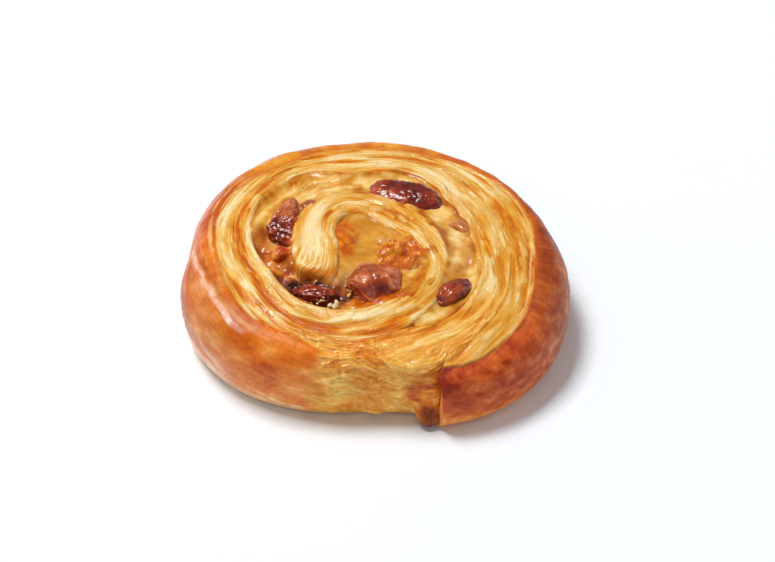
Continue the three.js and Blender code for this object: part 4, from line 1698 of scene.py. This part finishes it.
@dataclass
class RaisinSet:
    """All the raisins, each a wrinkled skin about its own solid's place."""

    roll: Roll
    rows: int = 78
    columns: int = 108
    facets: int = 13
    facet_depth: Pair = (0.72, 0.98)
    swell: float = 1.16
    roughness: float = 0.3

    def build(self) -> list[bpy.types.Object]:
        """Makes every raisin and lets each stand for its solid."""
        material = Baked.RAISIN.value.material()
        return [self.one(raisin, material) for raisin in RAISINS]

    def one(self, raisin: Raisin, material: bpy.types.Material) -> bpy.types.Object:
        """Makes one raisin.

        Its skin is a ball pressed flat by soft planes all round, so that it has broad facets: the
        radius is 1 over the n-th root of 1 plus the sum of each plane's share to the power of n.
        Ridges stand out where a slow unevenness is near zero, with finer ones between.

        Args:
            raisin: which raisin.
            material: finish of its skin.

        Returns:
            The raisin's object.
        """
        unit = np.stack(ball(self.rows, self.columns), axis=-1)
        seed = raisin.seed * 10 + 100
        draw = np.random.default_rng(seed)
        planes = draw.normal(size=(self.facets, 3))
        planes /= np.linalg.norm(planes, axis=1, keepdims=True)
        share = np.maximum(unit @ planes.T, 0.0) / draw.uniform(*self.facet_depth, self.facets)
        facet = (1.0 + np.sum(share**raisin.squareness, axis=-1)) ** (-1.0 / raisin.squareness)
        body = unit * np.array(raisin.half) * (facet * self.swell)[..., None]
        body[..., 1:] *= 1.0 - raisin.taper * body[..., :1] / raisin.half[0]
        a, b, c = np.moveaxis(body, -1, 0)
        lump = grain(a / 3.4, b / 3.0, seed, c / 3.0)
        ridge = crest(grain(a / 4.6, b / 3.4 + 0.5 * lump, seed + 1, c / 3.4), 1.6)
        small = crest(grain(a / 1.5, b + 0.8 * lump, seed + 2, c), 1.4)
        body = body * (0.98 + raisin.wrinkled * (0.10 * ridge + 0.08 * small - 0.06) + 0.05 * lump)[..., None]
        # Paler on the ridges and towards the top, darker in the hollows: painted highlight and painted shade,
        # over the skin's own uneven tone.
        level = 0.34 + 0.34 * ridge + 0.2 * small + 0.4 * lump + 0.1 * unit[..., 2]
        tint = shade(level, raisin.shades)
        # Redder towards the underside: painted glow of light shining through the raisin.
        tint = blend(tint, srgb(*UNDERSIDE), fall(unit[..., 2], -0.1, 0.35) * 0.55)
        even = np.ones(ridge.shape)
        looks = Looks(tint, self.roughness * even, even, body)
        made = close_grid(f"{raisin.node}_skin", self.place(raisin, body), looks, material)
        dress(made, raisin.node)
        return made

    def place(self, raisin: Raisin, body: Array) -> Array:
        """Tilts the raisin, turns it to its bearing and sets it in the cream.

        Args:
            raisin: which raisin.
            body: its points about its own middle.

        Returns:
            The points in the roll's frame.
        """
        tilt, bearing = math.radians(raisin.tilt), math.radians(raisin.bearing)
        x = body[..., 0] * math.cos(tilt) - body[..., 2] * math.sin(tilt)
        z = body[..., 0] * math.sin(tilt) + body[..., 2] * math.cos(tilt)
        level = float(self.roll.crown_at(np.array(raisin.x), np.array(raisin.y)))
        turned = (
            raisin.x + x * math.cos(bearing) - body[..., 1] * math.sin(bearing),
            raisin.y + x * math.sin(bearing) + body[..., 1] * math.cos(bearing),
            level - raisin.sink + z,
        )
        return np.stack(turned, axis=-1)


# ---- Crumbs ----


@dataclass(frozen=True)
class CrumbHeap:
    """Where crumbs lie: middle, spread, how many, their sizes, height over the crown, colour."""

    x: float
    y: float
    spread: Pair
    count: int
    size: Pair
    over_crown: float
    shade: Shade


@dataclass
class Crumbs:
    """Torn bits of dough and baked skin that lie on the cream and on the second turn."""

    roll: Roll
    rows: int = 9
    columns: int = 12
    seed: int = 7
    gather: float = 0.6
    squash: Pair = (0.5, 1.0)
    brightness: Pair = (0.85, 1.1)
    heaps: tuple[CrumbHeap, ...] = (
        CrumbHeap(-9.4, -24.6, (1.6, 1.0), 13, (0.3, 0.8), -0.4, (246, 216, 164)),
        CrumbHeap(-13.0, -23.6, (5.0, 0.9), 10, (0.2, 0.4), -0.5, (246, 214, 162)),
        CrumbHeap(-5.6, -16.4, (1.8, 3.2), 14, (0.4, 1.0), -2.6, (226, 170, 96)),
        CrumbHeap(-18.5, -15.6, (3.4, 1.2), 14, (0.25, 0.6), -2.6, (96, 44, 24)),
    )

    def strew(self) -> tuple[Array, Array, Array]:
        """Middle, half sizes and colour of each crumb, drawn heap by heap.

        Returns:
            The middles, the half sizes and the colours.
        """
        draw = np.random.default_rng(self.seed)
        strewn = []
        for heap in self.heaps:
            off = draw.normal(size=(heap.count, 2)) * np.array(heap.spread) * self.gather
            x, y = heap.x + off[:, 0], heap.y + off[:, 1]
            middle = np.stack([x, y, self.roll.crown_at(x, y) + heap.over_crown], axis=-1)
            size = draw.uniform(*heap.size, heap.count)[:, None]
            half = size * draw.uniform(*self.squash, (heap.count, 3))
            tint = srgb(*heap.shade) * draw.uniform(*self.brightness, (heap.count, 1))
            strewn.append((middle, half, tint))
        middles, sizes, tints = (np.concatenate(v) for v in zip(*strewn))
        return middles, sizes, tints

    def build(self) -> bpy.types.Object:
        """Makes all crumbs as one piece of small uneven balls.

        Returns:
            The crumbs' object.
        """
        up, *across = ball(self.rows, self.columns)
        round_one = np.stack([*across, up], axis=-1).reshape(-1, 3)
        round_one = np.concatenate([round_one, [[0.0, 0.0, 1.0], [0.0, 0.0, -1.0]]])
        middles, sizes, tints = self.strew()
        spread = round_one[None] * sizes[:, None]
        x, y, z = np.moveaxis(middles[:, None] + spread, -1, 0)
        lumps = 1.0 + 0.5 * grain(x / 0.5, y / 0.5, 81, z / 0.5)
        points = middles[:, None] + spread * lumps[..., None]
        count, each = points.shape[:2]
        offset = (np.arange(count) * each)[:, None, None]
        faces = closed_faces(self.rows - 2, self.columns)
        faces = [(f[None] + offset).reshape(-1, f.shape[1]) for f in faces]
        flat = points.reshape(-1, 3)
        plain = np.full(len(flat), 0.5)
        looks = Looks(np.repeat(tints, each, axis=0), plain, plain * 0.8, flat)
        made = link_mesh("dough_crumbs", flat, faces, looks, Baked.CRUMB.value.material())
        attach(made, "root")
        return made


# ---- Floor, light and camera ----


@dataclass(frozen=True)
class Softbox:
    """A soft lamp: where it stands and what it looks at in millimetres, its sides and its power."""

    name: str
    place: Place
    sides: Pair
    watts: float
    aim: Place = (0.0, 0.0, 12.0)

    def build(self) -> None:
        """Hangs the lamp and turns it to what it looks at."""
        lamp = bpy.data.lights.new(self.name, "AREA")
        lamp.shape = "RECTANGLE"
        lamp.size, lamp.size_y, lamp.energy = self.sides[0] * MM, self.sides[1] * MM, self.watts
        made = bpy.data.objects.new(self.name, lamp)
        made.location = Vector(self.place) * MM
        made.rotation_euler = (Vector(self.aim) - Vector(self.place)).to_track_quat("-Z", "Y").to_euler()
        bpy.context.scene.collection.objects.link(made)


@dataclass
class Studio:
    """A white table, soft light from the upper left behind, and the camera."""

    table_side: float = 6000.0
    table_white: Place = (0.87, 0.92, 0.96)
    table_drop: float = 0.05
    table_roughness: float = 0.9
    camera_distance: float = 650.0
    camera_elevation: float = 40.0
    aim_right: float = 3.2
    aim_up: float = 8.04
    pixels_per_mm: float = 3.88
    image_width: int = 775
    sensor: float = 36.0
    sky_strength: float = 0.28
    lamps: tuple[Softbox, ...] = (
        Softbox("key", (-900.0, 500.0, 2650.0), (1200.0, 900.0), 68.0),
        Softbox("front", (-200.0, -1500.0, 900.0), (900.0, 500.0), 2.2),
        Softbox("strip", (-520.0, 260.0, 190.0), (560.0, 36.0), 0.5),
        Softbox("side", (520.0, 160.0, 200.0), (200.0, 260.0), 0.35),
    )

    def build(self) -> None:
        """Sets the table, the sky, the lamps and the camera."""
        self.table()
        self.sky()
        for lamp in self.lamps:
            lamp.build()
        self.camera()

    def table(self) -> None:
        """A plain square table top, a hair below the roll."""
        half = self.table_side / 2.0
        corners = np.array([(-half, -half), (half, -half), (half, half), (-half, half)])
        mesh = bpy.data.meshes.new("table")
        mesh.from_pydata([(x * MM, y * MM, -self.table_drop * MM) for x, y in corners], [], [(0, 1, 2, 3)])
        paint = bpy.data.materials.new("table_white")
        paint.use_nodes = True
        Nodes(paint.node_tree).feed(paint.node_tree.nodes["Principled BSDF"], {
            "Base Color": (*self.table_white, 1.0), "Roughness": self.table_roughness,
        })
        mesh.materials.append(paint)
        made = bpy.data.objects.new("table", mesh)
        bpy.context.scene.collection.objects.link(made)

    def sky(self) -> None:
        """Even white light from all round."""
        world = bpy.data.worlds.new("studio_sky")
        world.use_nodes = True
        sky = {"Color": (1.0, 1.0, 1.0, 1.0), "Strength": self.sky_strength}
        Nodes(world.node_tree).feed(world.node_tree.nodes["Background"], sky)
        bpy.context.scene.world = world
        bpy.context.scene.view_settings.view_transform = "Standard"

    def camera(self) -> None:
        """Camera at the front, looking down at the roll."""
        up_angle = math.radians(self.camera_elevation)
        up = Vector((0.0, math.sin(up_angle), math.cos(up_angle)))
        ahead = Vector((0.0, math.cos(up_angle), -math.sin(up_angle)))
        aim = Vector((self.aim_right, 0.0, 0.0)) + up * self.aim_up
        lens = bpy.data.cameras.new("camera")
        lens.sensor_width = self.sensor
        lens.lens = self.pixels_per_mm * self.camera_distance / self.image_width * self.sensor
        lens.clip_start, lens.clip_end = 0.01, 20.0
        made = bpy.data.objects.new("camera", lens)
        made.location = (aim - ahead * self.camera_distance) * MM
        made.rotation_euler = ahead.to_track_quat("-Z", "Y").to_euler()
        bpy.context.scene.collection.objects.link(made)
        bpy.context.scene.camera = made


def report(piece: bpy.types.Object) -> None:
    """Logs a piece's name and how many faces it has."""
    log.info("%s: %d faces", piece.name, len(piece.data.polygons))


def main() -> None:
    """Builds the roll, the table, the light and the camera."""
    logging.basicConfig(level=logging.INFO, format="%(name)s %(message)s")
    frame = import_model()
    log.info("%d solids in the frame", len(frame["nodes"]))
    roll = Roll()
    pieces = [*DoughStrip(roll).build(), Cream(roll).build(), *RaisinSet(roll).build(), Crumbs(roll).build()]
    for piece in pieces:
        report(piece)
    Studio().build()


if __name__ == "__main__":
    main()
